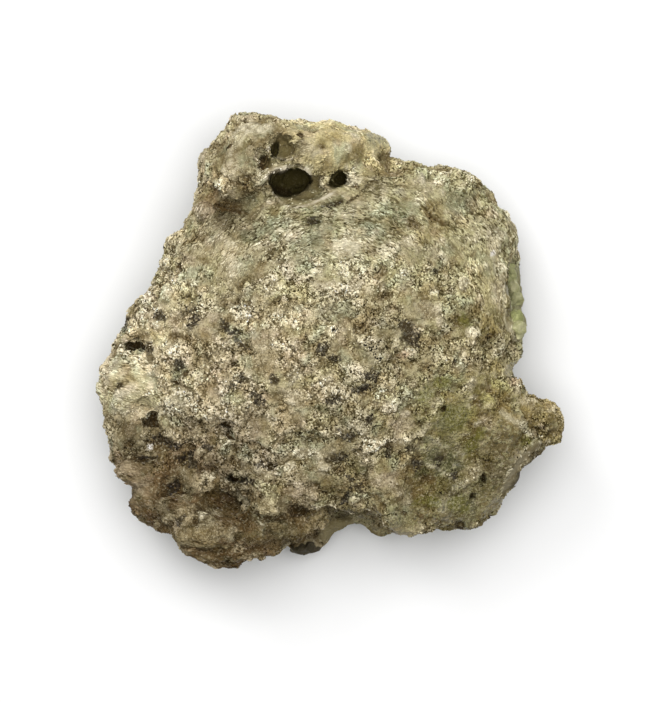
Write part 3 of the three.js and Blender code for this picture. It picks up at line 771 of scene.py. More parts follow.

# %% [markdown]
# ## Chunks, ledges, stains and painted shade
# What lies in one place only is a mark with a colour of its own, and marks of one colour share a
# row. A few dark ones are painted shade: under the crust's near edge, under the lip's knob and in a
# hollow at the near left. None is quite opaque: the mottle still shows through, which ties them to
# the crust.

# %% Lay down the coloured marks
COLOURED_MARKS = [  # colour, strength, marks
    # pale chunks of unmelted quartz and feldspar
    ((0.62, 0.55, 0.37), 0.75, [
        (1.2, 5.95, 1.1, 0.62, 5), (8.4, 3.5, 0.45), (6.6, 3.0, 0.4), (8.9, 0.4, 0.4),
        (1.2, 3.2, 0.7, 0.6, -15), (4.6, -4.7, 0.4, 0.6), (-9.7, -3.25, 0.42, 0.6, -10),
        (-6.6, -4.5, 0.38, 0.6, 5), (-6.5, -6.5, 0.4, 0.6), (1.3, 10.3, 0.6),
        (-5.0, 13.5, 1.2, 0.4, 5), (-9.8, -4.2, 1.4, 0.4, 12), (-5.9, 1.9, 0.6),
        (-2.2, -2.2, 0.7, 0.6, 60), (9.0, -3.6, 0.3, 0.6), (9.3, -5.3, 0.3, 0.5, 20),
        (-0.5, -8.2, 0.3), (-1.95, -7.25, 0.4), (-2.6, -8.0, 0.4, 0.6), (-7.7, -8.7, 0.6, 0.7),
        (-8.2, -11.2, 0.3), (-13.0, -3.6, 1.0, 0.5),
    ]),
    # lumps and ledges of half-fused sand
    ((0.36, 0.30, 0.19), 0.8, [(-9.3, -11.15, 0.55, 1.2), (-8.1, -9.2, 0.9, 0.75, -15)]),
    ((0.46, 0.38, 0.27), 0.45, [
        (-2.2, -9.5, 0.6), (-1.2, -9.65, 0.5), (-9.8, -12.0, 0.45, 0.6, 90), (4.5, -5.4, 0.8),
        (3.4, -8.9, 0.8, 0.6, 20), (9.9, -5.2, 0.5), (-11.6, 3.0, 0.5), (-7.5, 1.5, 0.6, 0.5),
    ]),
    ((0.36, 0.33, 0.19), 0.7, [
        (-3.75, -10.6, 0.9, 0.7), (-3.9, -9.4, 0.8, 0.7), (5.5, 9.3, 0.8, 0.6),
        (-12.0, -3.8, 1.2, 0.4, 10), (3.0, 12.8, 0.9, 0.5, -40),
    ]),
    ((0.22, 0.175, 0.095), 0.7, [
        (-8.2, -12.5, 1.9, 0.35, 2), (-3.35, -11.85, 0.65, 0.6), (-1.0, -11.8, 0.8, 0.6, 45),
    ]),
    ((0.40, 0.32, 0.22), 0.7, [(-8.1, 8.1, 0.55), (-7.6, 8.2, 0.3)]),
    ((0.20, 0.135, 0.075), 0.6, [(-7.7, 8.9, 0.7, 0.6)]),
    ((0.27, 0.205, 0.135), 0.65, [(-12.6, -8.8, 1.7, 0.55, -35), (-13.6, -7.3, 0.6, 0.4, -10)]),
    ((0.19, 0.15, 0.10), 0.6, [(-12.5, -10.8, 0.9, 0.6, -45), (-9.2, -14.0, 0.8, 0.4, -10)]),
    ((0.30, 0.25, 0.15), 0.85, [(-3.7, -10.65, 0.95, 0.66)]),
    ((0.27, 0.27, 0.16), 0.8, [(12.0, 2.4, 2.4, 0.25, 93), (11.9, 4.4, 0.8, 0.5, 90)]),
    # the dark facet under the horn, and pale and dark glass at the near rim: the dark strip at
    # (1.1, -11.3) is painted shadow under the crust's overhanging edge
    ((0.062, 0.054, 0.036), 0.9, [(11.75, -8.85, 0.8, 0.42, 50), (12.9, -7.8, 0.8, 0.2, 42)]),
    ((0.20, 0.172, 0.103), 0.85, [(0.6, -12.4, 1.6, 0.45, 40), (2.2, -11.8, 0.8, 0.5)]),
    ((0.055, 0.046, 0.027), 0.8, [(-1.5, -13.6, 1.1, 0.36, 8), (1.1, -11.3, 1.0, 0.28, 8)]),
    # green and olive glass
    ((0.105, 0.105, 0.022), 0.75, [
        (7.7, -4.9, 0.9), (6.0, -3.5, 0.6), (8.6, 1.3, 0.5), (7.0, -2.7, 0.6, 0.6, 30),
        (9.2, -6.2, 0.8, 0.5, 60), (12.6, -6.3, 0.6), (6.2, -10.2, 0.8, 0.6), (8.3, -10.4, 0.9, 0.6),
    ]),
    ((0.055, 0.062, 0.03), 0.7, [
        (7.6, -8.0, 0.9, 0.7), (6.4, -7.4, 0.8, 0.6, 30), (5.9, -8.5, 0.5), (2.1, -8.3, 0.4),
        (-1.1, 7.4, 0.7, 0.55), (-0.4, -4.4, 0.6, 0.4), (0.1, 8.6, 0.8, 0.5, 15),
    ]),
    ((0.17, 0.185, 0.125), 0.55, [
        (2.3, 7.2, 0.6), (-1.5, 6.2, 1.4, 0.5, 20), (4.8, 8.2, 1.2, 0.5), (8.3, 9.0, 0.9),
        (-4.5, 6.8, 1.3, 0.5, 30), (9.8, 5.0, 1.0, 0.5, -50), (3.0, 4.6, 0.9, 0.5),
        (0.4, 1.8, 1.2, 0.5, 10), (-9.6, -2.2, 0.6), (-5.8, 0.4, 0.5),
    ]),
    # ochre, rust and brown stains, and in the darkest brown painted shade under the lip and in
    # hollows
    ((0.26, 0.20, 0.075), 0.5, [
        (9.9, 0.9, 0.7), (6.0, 8.3, 0.5), (0.2, 12.9, 0.5, 0.6), (1.8, 12.2, 0.4), (10.4, -1.6, 0.6),
        (12.6, -4.4, 0.8, 0.5), (5.7, 6.5, 0.6), (11.2, -4.2, 0.6, 0.6), (7.3, -3.6, 0.5),
    ]),
    ((0.115, 0.092, 0.038), 0.65, [
        (11.1, -5.8, 0.7, 0.7, -30), (11.4, -7.1, 0.6, 0.5, 30), (12.0, -6.2, 0.4),
        (1.5, 11.6, 0.8, 0.45), (-0.6, 12.3, 0.4), (10.0, -4.6, 0.8, 0.3), (14.0, -5.0, 0.5, 0.6, 70),
        (13.3, -4.6, 0.4), (13.4, -5.9, 0.6, 0.5, -20),
    ]),
    ((0.074, 0.048, 0.021), 0.75, [
        (-1.92, 13.15, 0.42, 0.7, 80), (-0.48, 12.15, 0.25, 0.7), (3.5, 11.6, 0.5), (5.5, -7.5, 0.4),
        (6.2, -8.9, 0.5, 0.6), (5.2, 7.3, 0.4), (3.4, 2.8, 0.4), (3.3, 4.3, 0.35),
        # (-5.2, 9.8) and (-6.3, 8.4) are painted shade under the lip's knob, (-9.85, -9.3) in a
        # hollow
        (-5.2, 9.8, 0.7, 0.5, 60), (-6.3, 8.4, 1.0, 0.45, -10), (6.5, 7.8, 1.0, 0.2, -25),
        (-9.85, -9.3, 0.7, 0.8), (-9.6, 0.2, 0.7, 0.4), (9.2, -4.0, 0.4, 0.5),
        (-12.8, -6.7, 0.5, 0.6), (-6.0, 2.4, 0.5, 0.4), (2.0, 0.8, 0.6, 0.5),
        (-5.5, -11.2, 0.7, 0.35, 80), (9.9, 0.2, 0.5, 0.5), (-6.6, -11.6, 1.1, 0.4, 30),
        (5.7, -11.3, 0.3), (-5.2, -14.2, 1.2, 0.3, 20), (-8.6, -13.9, 1.2, 0.3, -20),
        (-11.0, -6.6, 0.8, 0.5, -30),
    ]),
    ((0.30, 0.19, 0.135), 0.5, [(11.5, -2.8, 0.3), (4.6, -0.9, 0.6, 0.4)]),
    ((0.34, 0.28, 0.21), 0.5, [(13.4, -5.6, 0.35, 0.6, -30), (12.9, -6.0, 0.3)]),
]

for colour, strength, spots in COLOURED_MARKS:
    tint = towards(tint, colour, strength * places.marks(spots))
print("laid", sum(len(spots) for _, _, spots in COLOURED_MARKS), "coloured marks")

# %% [markdown]
# ## Rims, edges and glints
# Thin edges let light through and are paler than what lies beside them: the rims of the bubbles,
# the shelf and the border of the facet. Glass that lets light in would show that by itself, but
# takes long to work out and is lost in an export, so the light in the edges is painted: they are
# drawn paler. A few glints are painted as well.

# %% Paint light into the pale edges, and paint the glints
PALE_LINES = [  # half-width, then the stops
    (0.07, (6.1, -6.1), (7.3, -6.8), (8.4, -7.3)),
    (0.09, (4.5, -8.1), (5.9, -7.8), (7.3, -8.5), (8.5, -9.3)),
    SHELF_LINE,
    (0.22, (10.9, -4.6), (12.0, -5.3), (12.7, -6.0)),
    (0.06, (13.6, -6.2), (12.5, -6.75), (11.55, -7.75), (11.05, -9.0), (10.85, -9.95)),
]
DIM_LINES = [
    (0.10, (-10.2, -13.0), (-9.0, -12.95), (-7.6, -13.2), (-6.5, -13.1)),
    (0.10, (-4.6, -10.9), (-3.9, -11.2), (-3.1, -11.1)), (0.1, (-9.5, -13.0), (-7.0, -13.15)),
]
EDGES = [  # colour, strength, lines
    ((0.30, 0.25, 0.14), 0.7, DIM_LINES),
    ((0.52, 0.47, 0.32), 0.7, PALE_LINES),
    ((0.60, 0.53, 0.38), 0.9, RIMS),
    ((0.21, 0.188, 0.138), 0.85, [FACET]),
]
PAINTED_GLINTS = [(-11.5, -6.83, 0.17), (10.8, 3.4, 0.16), (10.3, 5.5, 0.16)]
GLINT_WHITE = (0.68, 0.63, 0.53)

for colour, strength, strokes in EDGES:
    tint = towards(tint, colour, strength * places.lines(strokes))
# painted glints
tint = towards(tint, GLINT_WHITE, 0.95 * places.marks(PAINTED_GLINTS, fray=0.15))
print("drew", sum(len(strokes) for _, _, strokes in EDGES), "edges")

# %% [markdown]
# ## Soot
# Black flecks of soot and iron lie on the sand. They could be coloured marks like the others, but
# the grains on a fleck are sooty too, so their share is kept apart.

# %% Find the soot
SOOT_MARKS = [
    (-13.1, 1.0, 0.42, 0.8, 90), (-10.8, 1.5, 0.34), (-8.45, 1.3, 0.8, 0.6, -40),
    (-6.45, 0.85, 0.65, 0.65, -60), (-5.65, -0.3, 0.5, 0.5, -60), (-5.5, -2.1, 0.6, 0.35, 90),
    (-6.0, -2.8, 0.28), (-3.55, -2.45, 0.34), (-4.7, -3.6, 0.5, 0.5, -60), (-9.6, -1.6, 0.3),
    (-11.6, -0.4, 0.35), (-13.5, -2.9, 0.4, 0.5, 20), (-11.0, -6.4, 0.7, 0.5, -20),
    (-10.2, -6.6, 0.6, 0.7, -30), (-11.9, -7.6, 0.8, 0.2), (-8.9, -7.7, 0.7, 0.7),
    (-9.45, -11.35, 0.4, 0.6, 60), (-10.0, -9.3, 0.5, 0.8, 60), (-5.6, -8.95, 0.6, 0.4),
    (-2.0, -10.9, 0.65, 0.5, -5), (-0.45, -0.5, 0.7, 0.75, -45), (0.05, -1.1, 0.5, 0.55, -30),
    (5.0, 0.2, 0.6), (4.6, 0.9, 0.7, 0.5, 30), (2.0, -3.0, 0.6, 0.6, 30), (0.3, -3.6, 0.4),
    (2.6, -2.3, 0.4), (7.8, -1.4, 0.2), (1.0, -6.0, 0.5, 0.7), (0.3, -7.5, 0.7, 0.6, 20),
    (1.1, -8.6, 0.45, 0.4, -50), (1.8, -9.4, 0.4, 0.4, -50), (6.6, 4.3, 0.3, 0.5),
    (0.2, 8.6, 0.6, 0.4, 15), (-1.1, 7.4, 0.5, 0.5), (5.6, -8.0, 0.4), (5.0, -7.0, 0.3),
    (3.7, -7.2, 0.3), (-7.8, -6.8, 0.4, 0.5), (-4.5, -7.9, 0.4, 0.5), (2.4, -5.0, 0.3),
    (1.0, -10.0, 0.5, 0.4, 60), (6.9, -7.6, 0.4), (7.9, -8.6, 0.3),
]
SOOT = (0.022, 0.017, 0.012)

soot = places.marks(SOOT_MARKS, fray=0.9)
print("found", len(SOOT_MARKS), "flecks of soot")

# %% [markdown]
# ## Dust and painted shade in the hollows
# Cracks and pits hold brown dust and little light, and glass inside the large bubbles is dark
# olive. The underside is plain green glass, whatever lies above it. Light alone would darken real
# hollows, but these are finer than the skin's squares, so their colour carries painted shade: the
# cracks, creases, pores, pits and bubbles are darkened, and the deepest pits and the shaded wall of
# one bubble are painted near black.

# %% Find the cracks and the underside
patchy = ease(places.noise(1.2, seed=51), -0.3, 0.3)
cracks = ease(crumb, 0.55, 0.0) * (1 - streaked) * (1 - glass) * (0.35 + 0.65 * patchy)
cracks = np.maximum(cracks, 0.7 * ease(streaks, -0.05, -0.4) * streaked)
under = ease(places.outward[:, 2], 0.0, -0.4) * ease(places.z, 6.0, 4.5)
print("cracks cover", round(100 * cracks.mean()), "percent of the skin")

# %% Paint shade into the hollows and turn the underside green
HOLLOW_DUST_AND_SHADE = (0.055, 0.036, 0.015)
PIT_BROWN_AND_SHADE = (0.075, 0.046, 0.019)
BUBBLE_GLASS_AND_SHADE = (0.037, 0.033, 0.012)
SLOPE_GLASS = (0.108, 0.086, 0.038)
DEEP_SHADE = (0.018, 0.013, 0.005)
UNDER_GLASS = (0.19, 0.21, 0.12)
DEEP_SHADE_MARKS = [
    (9.68, -8.8, 0.28, 0.65, 85), (9.0, -9.95, 0.19, 0.9, 60), (7.15, -4.35, 0.17),
    (8.18, -11.7, 0.42, 0.68, -10), (-3.6, 12.0, 0.4, 0.16, 74), (-3.1, 9.5, 0.7, 0.4, -20),
    (-7.95, -9.2, 0.16), (-3.7, -7.93, 0.28, 0.75), (-2.0, -10.9, 0.45, 0.5, -8),
]
RING_BUBBLE = (8.22, -11.68, 0.14, 0.6, -10)  # a paler middle in one deep mark

# cracks, creases, pores and pits get brown dust and painted shade, the bubbles dark glass and painted
# shade, and the deep marks painted shade alone
layers = [  # colour and share, and each lies over those before it
    (HOLLOW_DUST_AND_SHADE, 0.6 * cracks),
    (SOOT, 0.95 * soot),
    (HOLLOW_DUST_AND_SHADE, 0.8 * creased),
    (HOLLOW_DUST_AND_SHADE, 0.75 * pores),
    (PIT_BROWN_AND_SHADE, 0.92 * inside),
    (SLOPE_GLASS, 0.8 * places.marks(BUBBLE_SLOPES, fray=0.4, edge=(1.45, 0.4))),
    (BUBBLE_GLASS_AND_SHADE, 0.95 * places.marks(BUBBLES, fray=0.25, edge=CRISP)),
    (DEEP_SHADE, 0.9 * places.marks(DEEP_SHADE_MARKS, fray=0.2)),
    (SLOPE_GLASS, places.mark(*RING_BUBBLE, fray=0.1)),
    (UNDER_GLASS, under),
]
skin_tint = tint
for colour, share in layers:
    skin_tint = towards(skin_tint, colour, share)
print("the crust's mean colour is", skin_tint.mean(0).round(3))

# %% [markdown]
# ## Deeper browns
# Dark sand looks browner than pale sand, because the light that bounces between the grains into
# the shade is warm. So dark colours are made browner: painted bounce light. Each brown above could
# be picked with that in mind, but blends of two colours miss it, so all are deepened at the end, by
# their brightness. The grains are deepened in the same way.

# %% Deepen the colours
EYE = (0.3, 0.6, 0.1)  # how much of a colour's brightness is red, green and blue
MIDDLE_SAND = 0.4
BROWNING = np.array((-0.04, 0.0, 0.18))


def deepen(colours):
    """The same colours, browner the darker they are."""
    brightness = (colours @ EYE / MIDDLE_SAND).clip(0.02, 1.5)[:, None]
    return (colours * brightness**BROWNING).clip(0, 1)


skin_tint = deepen(skin_tint)
print("deepened, it is", skin_tint.mean(0).round(3))

# %% [markdown]
# ## Colours and shares stay with the mesh
# What was worked out for each corner is stored as an attribute of the mesh, where a material can
# read it. A picture could hold it too, but an attribute needs no file and is exact at each corner.

# %% Store them on the skin
def paint(mesh, name, colours):
    """Stores a colour for each corner of a mesh."""
    layer = mesh.color_attributes.new(name, "FLOAT_COLOR", "POINT")
    layer.data.foreach_set("color", np.column_stack([colours, np.ones(len(colours))]).ravel())


def note(mesh, name, values):
    """Stores a number for each corner of a mesh."""
    layer = mesh.attributes.new(name, "FLOAT", "POINT")
    layer.data.foreach_set("value", np.asarray(values, np.float32))


paint(skin, "tint", skin_tint)
note(skin, "glass", glass * (1 - smooth) * (1 - inside))
note(skin, "melt", np.maximum(melt, 1.5 * smooth))
note(skin, "streaked", streaked)
flow_layer = skin.attributes.new("flow", "FLOAT_VECTOR", "POINT")
flow_layer.data.foreach_set("vector", flow.ravel())
print("the skin carries", skin.attributes.keys())

# %% [markdown]
# ## Finishes as Python expressions
# A material is a net of nodes. Its sums could be made one Math node at a time, but such a list hides
# what it works out. So a small class wraps a node's output, and arithmetic on it adds the nodes.

# %% Wires that add and multiply
class Wire:
    """A node's output that takes part in arithmetic."""

    def __init__(self, finish, socket):
        self.finish = finish
        self.socket = socket

    def maths(self, operation, a, b):
        return self.finish.add("ShaderNodeMath", {"operation": operation}, {0: a, 1: b})

    def __add__(self, other):
        return self.maths("ADD", self, other)

    def __radd__(self, other):
        return self.maths("ADD", other, self)

    def __sub__(self, other):
        return self.maths("SUBTRACT", self, other)

    def __rsub__(self, other):
        return self.maths("SUBTRACT", other, self)

    def __mul__(self, other):
        return self.maths("MULTIPLY", self, other)

    def __rmul__(self, other):
        return self.maths("MULTIPLY", other, self)

    def __abs__(self):
        return self.maths("ABSOLUTE", self, 0)


# %% [markdown]
# ## A finish and its nodes
# A finish could call Blender's node functions directly, but that takes three or four lines a node.
# Here one method adds any node with its settings and sockets, and short methods name the few kinds
# that this piece needs.

# %% A finish that nodes are added to
class Finish:
    """A material whose nodes are added one at a time."""

    def __init__(self, name):
        self.material = bpy.data.materials.new(name)
        self.material.use_nodes = True
        self.nodes = self.material.node_tree.nodes
        self.links = self.material.node_tree.links
        self.shader = self.nodes["Principled BSDF"]

    def add(self, kind, settings, sockets, output=0):
        """Adds a node, sets it and its sockets, and returns one of its outputs."""
        node = self.nodes.new(kind)
        for name, value in settings.items():
            setattr(node, name, value)
        for name, value in sockets.items():
            self.feed(node.inputs[name], value)
        return Wire(self, node.outputs[output])

    def feed(self, socket, value):
        if isinstance(value, Wire):
            self.links.new(value.socket, socket)
        else:
            socket.default_value = value

    def set(self, **sockets):
        """Sets the shader's sockets, with _ for a space in their names."""
        for name, value in sockets.items():
            self.feed(self.shader.inputs[name.replace("_", " ")], value)

    def stored(self, name, output):
        return self.add("ShaderNodeAttribute", {"attribute_name": name}, {}, output)

    def noise(self, where, scale, detail=2.0, roughness=0.6):
        """Noise from 0 to 1."""
        sockets = {"Vector": where, "Scale": scale, "Detail": detail, "Roughness": roughness}
        return self.add("ShaderNodeTexNoise", {}, sockets)

    def grain(self, width, detail=2.0, roughness=0.6):
        """Noise from 0 to 1 whose bumps are width millimetres wide."""
        place = self.add("ShaderNodeTexCoord", {}, {}, "Object")
        return self.noise(place, 1 / (width * MM), detail, roughness)

    def between(self, value, low, high, start=0.0, end=1.0):
        """value taken from low to high onto start to end, and held there."""
        sockets = {"Value": value, "From Min": low, "From Max": high, "To Min": start, "To Max": end}
        return self.add("ShaderNodeMapRange", {}, sockets)

    def mix(self, factor, a, b, how="MIX"):
        """A mix of two colours."""
        node = {"data_type": "RGBA", "blend_type": how}
        return self.add("ShaderNodeMix", node, {0: factor, 6: a, 7: b}, 2)

    def bump(self, height, depth):
        """Bumps that are depth millimetres deep."""
        sockets = {"Height": height, "Distance": depth * MM, "Strength": 1.0}
        return self.add("ShaderNodeBump", {}, sockets)


# %% [markdown]
# ## The finish of the crust
# The skin carries its colours. Its finish adds what is smaller than its squares: cracks in the sand
# painted dark brown for their dust and their shade, pale specks in the sand, flecks and fine threads
# in the glass, a grit, and a sheen where glass shows. A finer mesh could carry those as well, but it
# would be far too heavy to use again.

# %% Finish the crust
CRACK_DUST_AND_SHADE = (0.035, 0.024, 0.01, 1)
SPECK_CREAM = (0.62, 0.54, 0.35, 1)
FLECK_GREEN = (0.045, 0.042, 0.018, 1)
THREAD_OLIVE = (0.38, 0.355, 0.18, 1)


def crust_finish():
    finish = Finish("fused_sand")
    tint = finish.stored("tint", "Color")
    glass = finish.stored("glass", "Fac")
    melt = finish.stored("melt", "Fac")
    streaked = finish.stored("streaked", "Fac")
    sand = 1 - 0.6 * melt + 0.15 * glass
    rough = finish.grain(0.34, 3.0, 0.7)
    drawn = finish.noise(finish.stored("flow", "Vector"), 1.6, 3.0, 0.7)
    grit = rough + streaked * (drawn - rough)
    cracks = finish.between(abs(grit - 0.5), 0.0, 0.06, 1.0, 0.0)
    flecks = finish.between(finish.grain(0.22, 3.0, 0.7), 0.46, 0.36)
    specks = finish.between(finish.grain(0.2, 3.0, 0.7), 0.52, 0.66)
    threads = finish.between(abs(finish.grain(0.7, 4.0, 0.7) - 0.48), 0.0, 0.024, 1.0, 0.0)
    # the cracks' dark brown is dust and painted shade
    colour = finish.mix(0.95 * cracks * sand, tint, CRACK_DUST_AND_SHADE)
    colour = finish.mix(0.55 * specks * sand, colour, SPECK_CREAM)
    colour = finish.mix(0.85 * flecks * glass, colour, FLECK_GREEN)
    colour = finish.mix(0.75 * threads * glass, colour, THREAD_OLIVE)
    finish.set(
        Base_Color=colour,
        Roughness=finish.between(glass, 0.0, 1.0, 0.9, 0.5),
        Coat_Weight=finish.between(glass, 0.4, 1.0, 0.0, 0.35),
        Normal=finish.bump(grit + 0.5 * finish.grain(0.16, 2.0), 0.12),
    )
    finish.set(Specular_IOR_Level=0.12, Coat_Roughness=0.3)
    return finish.material


crust_material = crust_finish()
print("the crust's finish has", len(crust_material.node_tree.nodes), "nodes")

# %% [markdown]
# ## The crust becomes a piece
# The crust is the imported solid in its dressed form, so it rides on the same body and takes the
# solid's place. Its places, directions and triangles are kept in millimetres first, because the
# grains and the beads are laid on them.

# %% Add the crust
def add_piece(name, mesh, material):
    """Brings a mesh down to metres and makes it a piece of the trinitite."""
    mesh.transform(Matrix.Scale(MM, 4))
    mesh.materials.append(material)
    piece = bpy.data.objects.new(name, mesh)
    bpy.context.scene.collection.objects.link(piece)
    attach(piece, "root")
    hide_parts("trinitite")


crust_points = rows(skin, "co")
crust_outward = rows(skin, "normal")
skin.calc_loop_triangles()
crust_triangles = np.array([triangle.vertices for triangle in skin.loop_triangles])
add_piece("crust", skin, crust_material)
print("the crust has", len(crust_triangles), "triangles")

# %% [markdown]
# ## Grains of sand
# What makes the crust look like sand is its grains: pale quartz, tan feldspar, brown and black
# specks. They are far too many to place by hand, and particles don't survive an export, so each
# kind is one joined mesh: copies of one shape, worked out with arrays. The shape is the coarsest
# ball there is, with six corners and eight flat, glinting faces. Each copy has its corners jittered
# and is half sunk in the crust. Where a kind lies is chosen at random, by area times a density.

# %% Shape one grain and measure the crust
def grain_shape():
    """The corners and triangles of one grain before it is jittered."""
    ball = bmesh.new()
    bmesh.ops.create_uvsphere(ball, u_segments=4, v_segments=2, radius=1)
    # The corners are counted round the middle first, then at the top and at the bottom.
    for vert, number in zip(ball.verts, (1, 0, 3, 5, 4, 2)):
        vert.index = number
    ball.verts.sort()
    corners = np.array([vert.co for vert in ball.verts]).round()
    faces = np.array([[vert.index for vert in face.verts] for face in ball.faces])
    ball.free()
    return corners, faces


GRAIN_CORNERS, GRAIN_FACES = grain_shape()
print("a grain has", len(GRAIN_CORNERS), "corners and", len(GRAIN_FACES), "faces")


def triangle_areas():
    a, b, c = (crust_points[crust_triangles[:, i]] for i in range(3))
    return np.linalg.norm(np.cross(b - a, c - a), axis=1) / 2


AREAS = triangle_areas()
print("the crust's area is", round(AREAS.sum()), "square millimetres")

# %% Give each grain a place in the grains' map
GRAINS = 24500
CELL = np.array([(0.15, 0.15), (0.85, 0.15), (0.15, 0.85)])  # a triangle in a square of the map


def lay_out_cells(mesh):
    """Gives each grain a cell of its own in the grains' map. All its faces have one colour, so they
    share the cell's triangle."""
    side = math.ceil(math.sqrt(GRAINS))
    cell = np.stack(np.divmod(np.arange(GRAINS), side), 1)[:, None, None]
    spots = np.broadcast_to((cell + CELL) / side, (GRAINS, len(GRAIN_FACES), 3, 2))
    layer = mesh.uv_layers.new(name="OFBake")
    layer.data.foreach_set("uv", spots.ravel())


# %% Strew one kind of grains
CORNER_JITTER = 0.35
SUNK = 0.35
LEAN = 0.35
LENGTHS = (1.0, 1.7)
WIDTHS = (0.7, 1.0)
HEIGHTS = (0.6, 0.9)
DRAWN_LENGTH = 1.5
MELTED_OFF = 0.3


def unit(vectors):
    """The same directions, one millimetre long."""
    return vectors / np.linalg.norm(vectors, axis=1)[:, None]


def strew(name, density, size, colour_of, finish, seed):
    """Makes one piece of grains. size is the least and most half-width, and colour_of gives the
    grains' colours from a reader of the crust's values and random numbers."""
    random = np.random.default_rng(seed)
    weight = AREAS * density[crust_triangles].mean(1)
    picked = random.choice(len(AREAS), GRAINS, p=weight / weight.sum())
    corners = crust_triangles[picked]
    shares = random.dirichlet((1, 1, 1), GRAINS)

    def at(values):
        """The crust's values where the grains lie."""
        return np.einsum("nk,nk...->n...", shares, values[corners])

    outward = unit(at(crust_outward))
    half = size[0] + (size[1] - size[0]) * random.random(GRAINS) ** 1.5
    half *= 1 - MELTED_OFF * at(melt)
    # A grain lies anyhow on sand and along the streaks on drawn-out glass.
    anyhow = unit(np.cross(outward, random.normal(size=(GRAINS, 3))))
    ring = unit(np.cross([0, 0, 1], at(crust_points)) + 1e-6)
    ring = np.where(runs_level[corners[:, :1]], unit(np.array([[1, -LEVEL_TILT, 0]])), ring)
    drawn = random.random(GRAINS) < at(streaked)
    x_way = np.where(drawn[:, None], ring, anyhow)
    z_way = unit(outward + random.normal(scale=LEAN, size=(GRAINS, 3)))
    y_way = unit(np.cross(z_way, x_way))
    x_way = np.cross(y_way, z_way)
    shape = GRAIN_CORNERS[None] + random.uniform(-CORNER_JITTER, CORNER_JITTER, (GRAINS, 6, 3))
    length = random.uniform(*LENGTHS, GRAINS) * np.where(drawn, DRAWN_LENGTH, 1.0)
    width = random.uniform(*WIDTHS, GRAINS)
    height = random.uniform(*HEIGHTS, GRAINS)
    shape *= (half[:, None] * np.stack([length, width, height], 1))[:, None, :]
    centre = at(crust_points) + outward * (half * (0.5 - SUNK))[:, None]
    placed = centre[:, None] + sum(
        shape[:, :, i, None] * way[:, None] for i, way in enumerate((x_way, y_way, z_way))
    )
    placed = np.clip(placed.reshape(-1, 3), low_corner, high_corner)
    faces = (GRAIN_FACES[None] + 6 * np.arange(GRAINS)[:, None, None]).reshape(-1, 3)
    mesh = bpy.data.meshes.new(name)
    mesh.from_pydata(placed, [], faces)
    lay_out_cells(mesh)
    colours = np.clip(colour_of(at, random), 0.004, 0.9)
    paint(mesh, "tint", np.repeat(colours, 6, axis=0))
    add_piece(name, mesh, finish)
    print(name, "has", len(mesh.polygons), "faces")


# %% [markdown]
# ## Where sand lies
# Sand covers what isn't glass, in clusters. Inside the bubbles and the pits and on the underside
# there is hardly any. Spread evenly it would bury the glass, so its density is a product of
# factors, and each takes away the sand that can't lie there.

# %% Find where sand lies
open_air = (1 - under) * (1 - inside) * (1 - smooth) * (1 - 0.8 * creased)
clustered = ease(places.noise(0.9, seed=21), -0.35, 0.2)
sandy = (1 - 0.84 * melt) * (1 - 0.4 * streaked) * (1 - 0.6 * pores) * open_air
sandy *= 0.15 + clustered
print("sand could lie on", round(100 * (sandy > 0.1).mean()), "percent of the skin")

# %% [markdown]
# ## Four kinds of grains
# Pale grains stand on the crumbs, brown ones fill the cracks, and tan and fine ones lie anywhere.
# Colours picked from a list would look like confetti. A grain takes the colour of the crust below
# it instead, made lighter or darker at random, and less so where the sand fused.

# %% Strew all four kinds
WARMTH = np.array([0.94, 1.0, 1.18])  # darker grains are browner, lighter ones are creamier
SOFT = 0.72  # how much of its contrast sand loses where it fused

softened = np.maximum.reduce([1.2 * fused, 0.4 * streaked, 0.35 * glass])


def shaded(low, high, lean=1.0, black=1.0):
    """Colours like the crust's below, times a random lightness, with soot where the crust has it.
    The more lean, the fewer the dark grains, and the less black, the fewer the sooty ones."""
    def colour_of(at, random):
        light = high - (high - low) * random.random((GRAINS, 1)) ** lean
        light **= 1 - SOFT * at(softened)[:, None]
        colour = deepen(at(tint)) * light**WARMTH
        sooty = (random.random(GRAINS) < at(soot) * black) * random.uniform(0.6, 0.97, GRAINS)
        return towards(colour, SOOT, sooty)
    return colour_of


def grain_finish(name, roughness, specular):
    finish = Finish(name)
    finish.set(Base_Color=finish.stored("tint", "Color"))
    finish.set(Roughness=roughness, Specular_IOR_Level=specular)
    return finish.material


KINDS = [  # name, density, half-widths, lightness, finish
    ("pale_grains", sandy * (0.25 + crumb), (0.045, 0.10), shaded(0.7, 1.95, 3.0, 0.7),
     grain_finish("pale_quartz", 0.4, 0.5)),
    ("tan_grains", sandy * (0.3 + 0.7 * crumb), (0.055, 0.12), shaded(0.5, 1.5, 2.0),
     grain_finish("tan_feldspar", 0.6, 0.2)),
    ("brown_grains", sandy * (1.2 - crumb) * (1 - 0.6 * melt), (0.05, 0.11), shaded(0.05, 0.45),
     grain_finish("brown_grit", 0.75, 0.05)),
    ("fine_grains", sandy, (0.035, 0.07), shaded(0.2, 2.4, 1.5), grain_finish("fine_sand", 0.5, 0.2)),
]
for seed, kind in enumerate(KINDS, 1):
    strew(*kind, seed)

# %% [markdown]
# ## Beads of glass
# Along the right edge the glass ran over as a shelf of small green beads, and one dark bead hangs
# at the near edge. They could be lumps of the skin, but a drop has a round foot that a lift can't
# make. So each is a ball of its own that sags a little: an icosphere, squeezed and roughened by
# noise, and half sunk where the crust is highest.

# %% List the beads
PALE_BEAD = np.array((0.46, 0.43, 0.26))
GREEN_BEAD = np.array((0.28, 0.29, 0.12))
DARK_BEAD = (0.060, 0.048, 0.028)


def greenish(share):
    return PALE_BEAD + (GREEN_BEAD - PALE_BEAD) * share


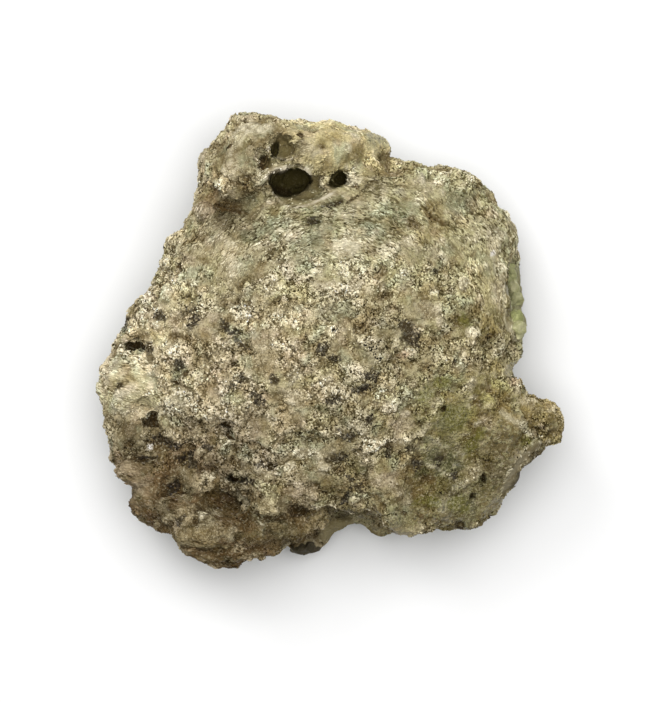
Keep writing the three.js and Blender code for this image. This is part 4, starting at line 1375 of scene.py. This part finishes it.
BEADS = [  # x, y, half-width across, half-width along, turn, colour
    (11.65, 4.3, 0.38, 0.6, 5, greenish(0.7)), (11.8, 3.4, 0.44, 0.55, -5, greenish(0.2)),
    (11.93, 2.6, 0.48, 0.6, -4, greenish(0.4)), (11.85, 1.45, 0.46, 0.6, 0, greenish(0.9)),
    (12.02, 0.65, 0.46, 0.6, 12, greenish(0.3)), (-1.5, -13.45, 0.36, 1.1, -82, DARK_BEAD),
]
print("the palest bead is", max(BEADS, key=lambda bead: bead[5][0])[5], "before its mottle")

# %% Set the beads
BEAD_HEIGHT = 0.35
BEAD_REACH = 0.25
BEAD_SUNK = 0.1
BUMP_DEPTH = 0.25
BUMP_WIDTH = 0.45
MOTTLE_WIDTH = 0.25
MOTTLE_STRENGTH = 0.45

noise.seed_set(5)  # noise_vector would start from the clock without this


def top_of_crust(x, y):
    near = np.hypot(crust_points[:, 0] - x, crust_points[:, 1] - y) < BEAD_REACH
    return crust_points[near, 2].max()


def bead(mesh, x, y, across, along, turn):
    """Adds one bead to a bmesh and returns its corners."""
    place = Matrix.Translation((x, y, top_of_crust(x, y) - BEAD_SUNK))
    place @= Matrix.Rotation(math.radians(turn), 4, "Z")
    place @= Matrix.Diagonal((across, along, BEAD_HEIGHT, 1))
    made = bmesh.ops.create_icosphere(mesh, subdivisions=4, radius=1, matrix=place)
    for vert in made["verts"]:
        vert.co += BUMP_DEPTH * noise.noise_vector(vert.co / BUMP_WIDTH)
    return made["verts"]


def bead_mesh():
    shape = bmesh.new()
    colours = []
    for *how, colour in BEADS:
        colours += [colour] * len(bead(shape, *how))
    mesh = bpy.data.meshes.new("beads")
    shape.to_mesh(mesh)
    shape.free()
    placed = np.clip(rows(mesh, "co"), low_corner, high_corner)
    mesh.vertices.foreach_set("co", placed.ravel())
    mottle = fractal(placed, MOTTLE_WIDTH, 3, seed=71)[:, None]
    paint(mesh, "tint", np.array(colours) * 2 ** (MOTTLE_STRENGTH * mottle))
    mesh.shade_smooth()
    return mesh


beads = bead_mesh()
print("each bead has", len(beads.polygons) // len(BEADS), "faces")

# %% Finish the beads and add them
CLOUD = (0.48, 0.52, 0.32, 1)


def bead_finish():
    finish = Finish("bead_glass")
    cloudy = finish.between(finish.grain(0.3, 3.0, 0.7), 0.4, 0.6)
    tint = finish.stored("tint", "Color")
    finish.set(
        Base_Color=finish.mix(0.55 * cloudy, tint, CLOUD, "MULTIPLY"),
        Normal=finish.bump(finish.grain(0.22, 3.0, 0.7), 0.15),
    )
    finish.set(Roughness=0.5, Specular_IOR_Level=0.2)
    return finish.material


add_piece("glass_beads", beads, bead_finish())
print("set", len(BEADS), "beads")
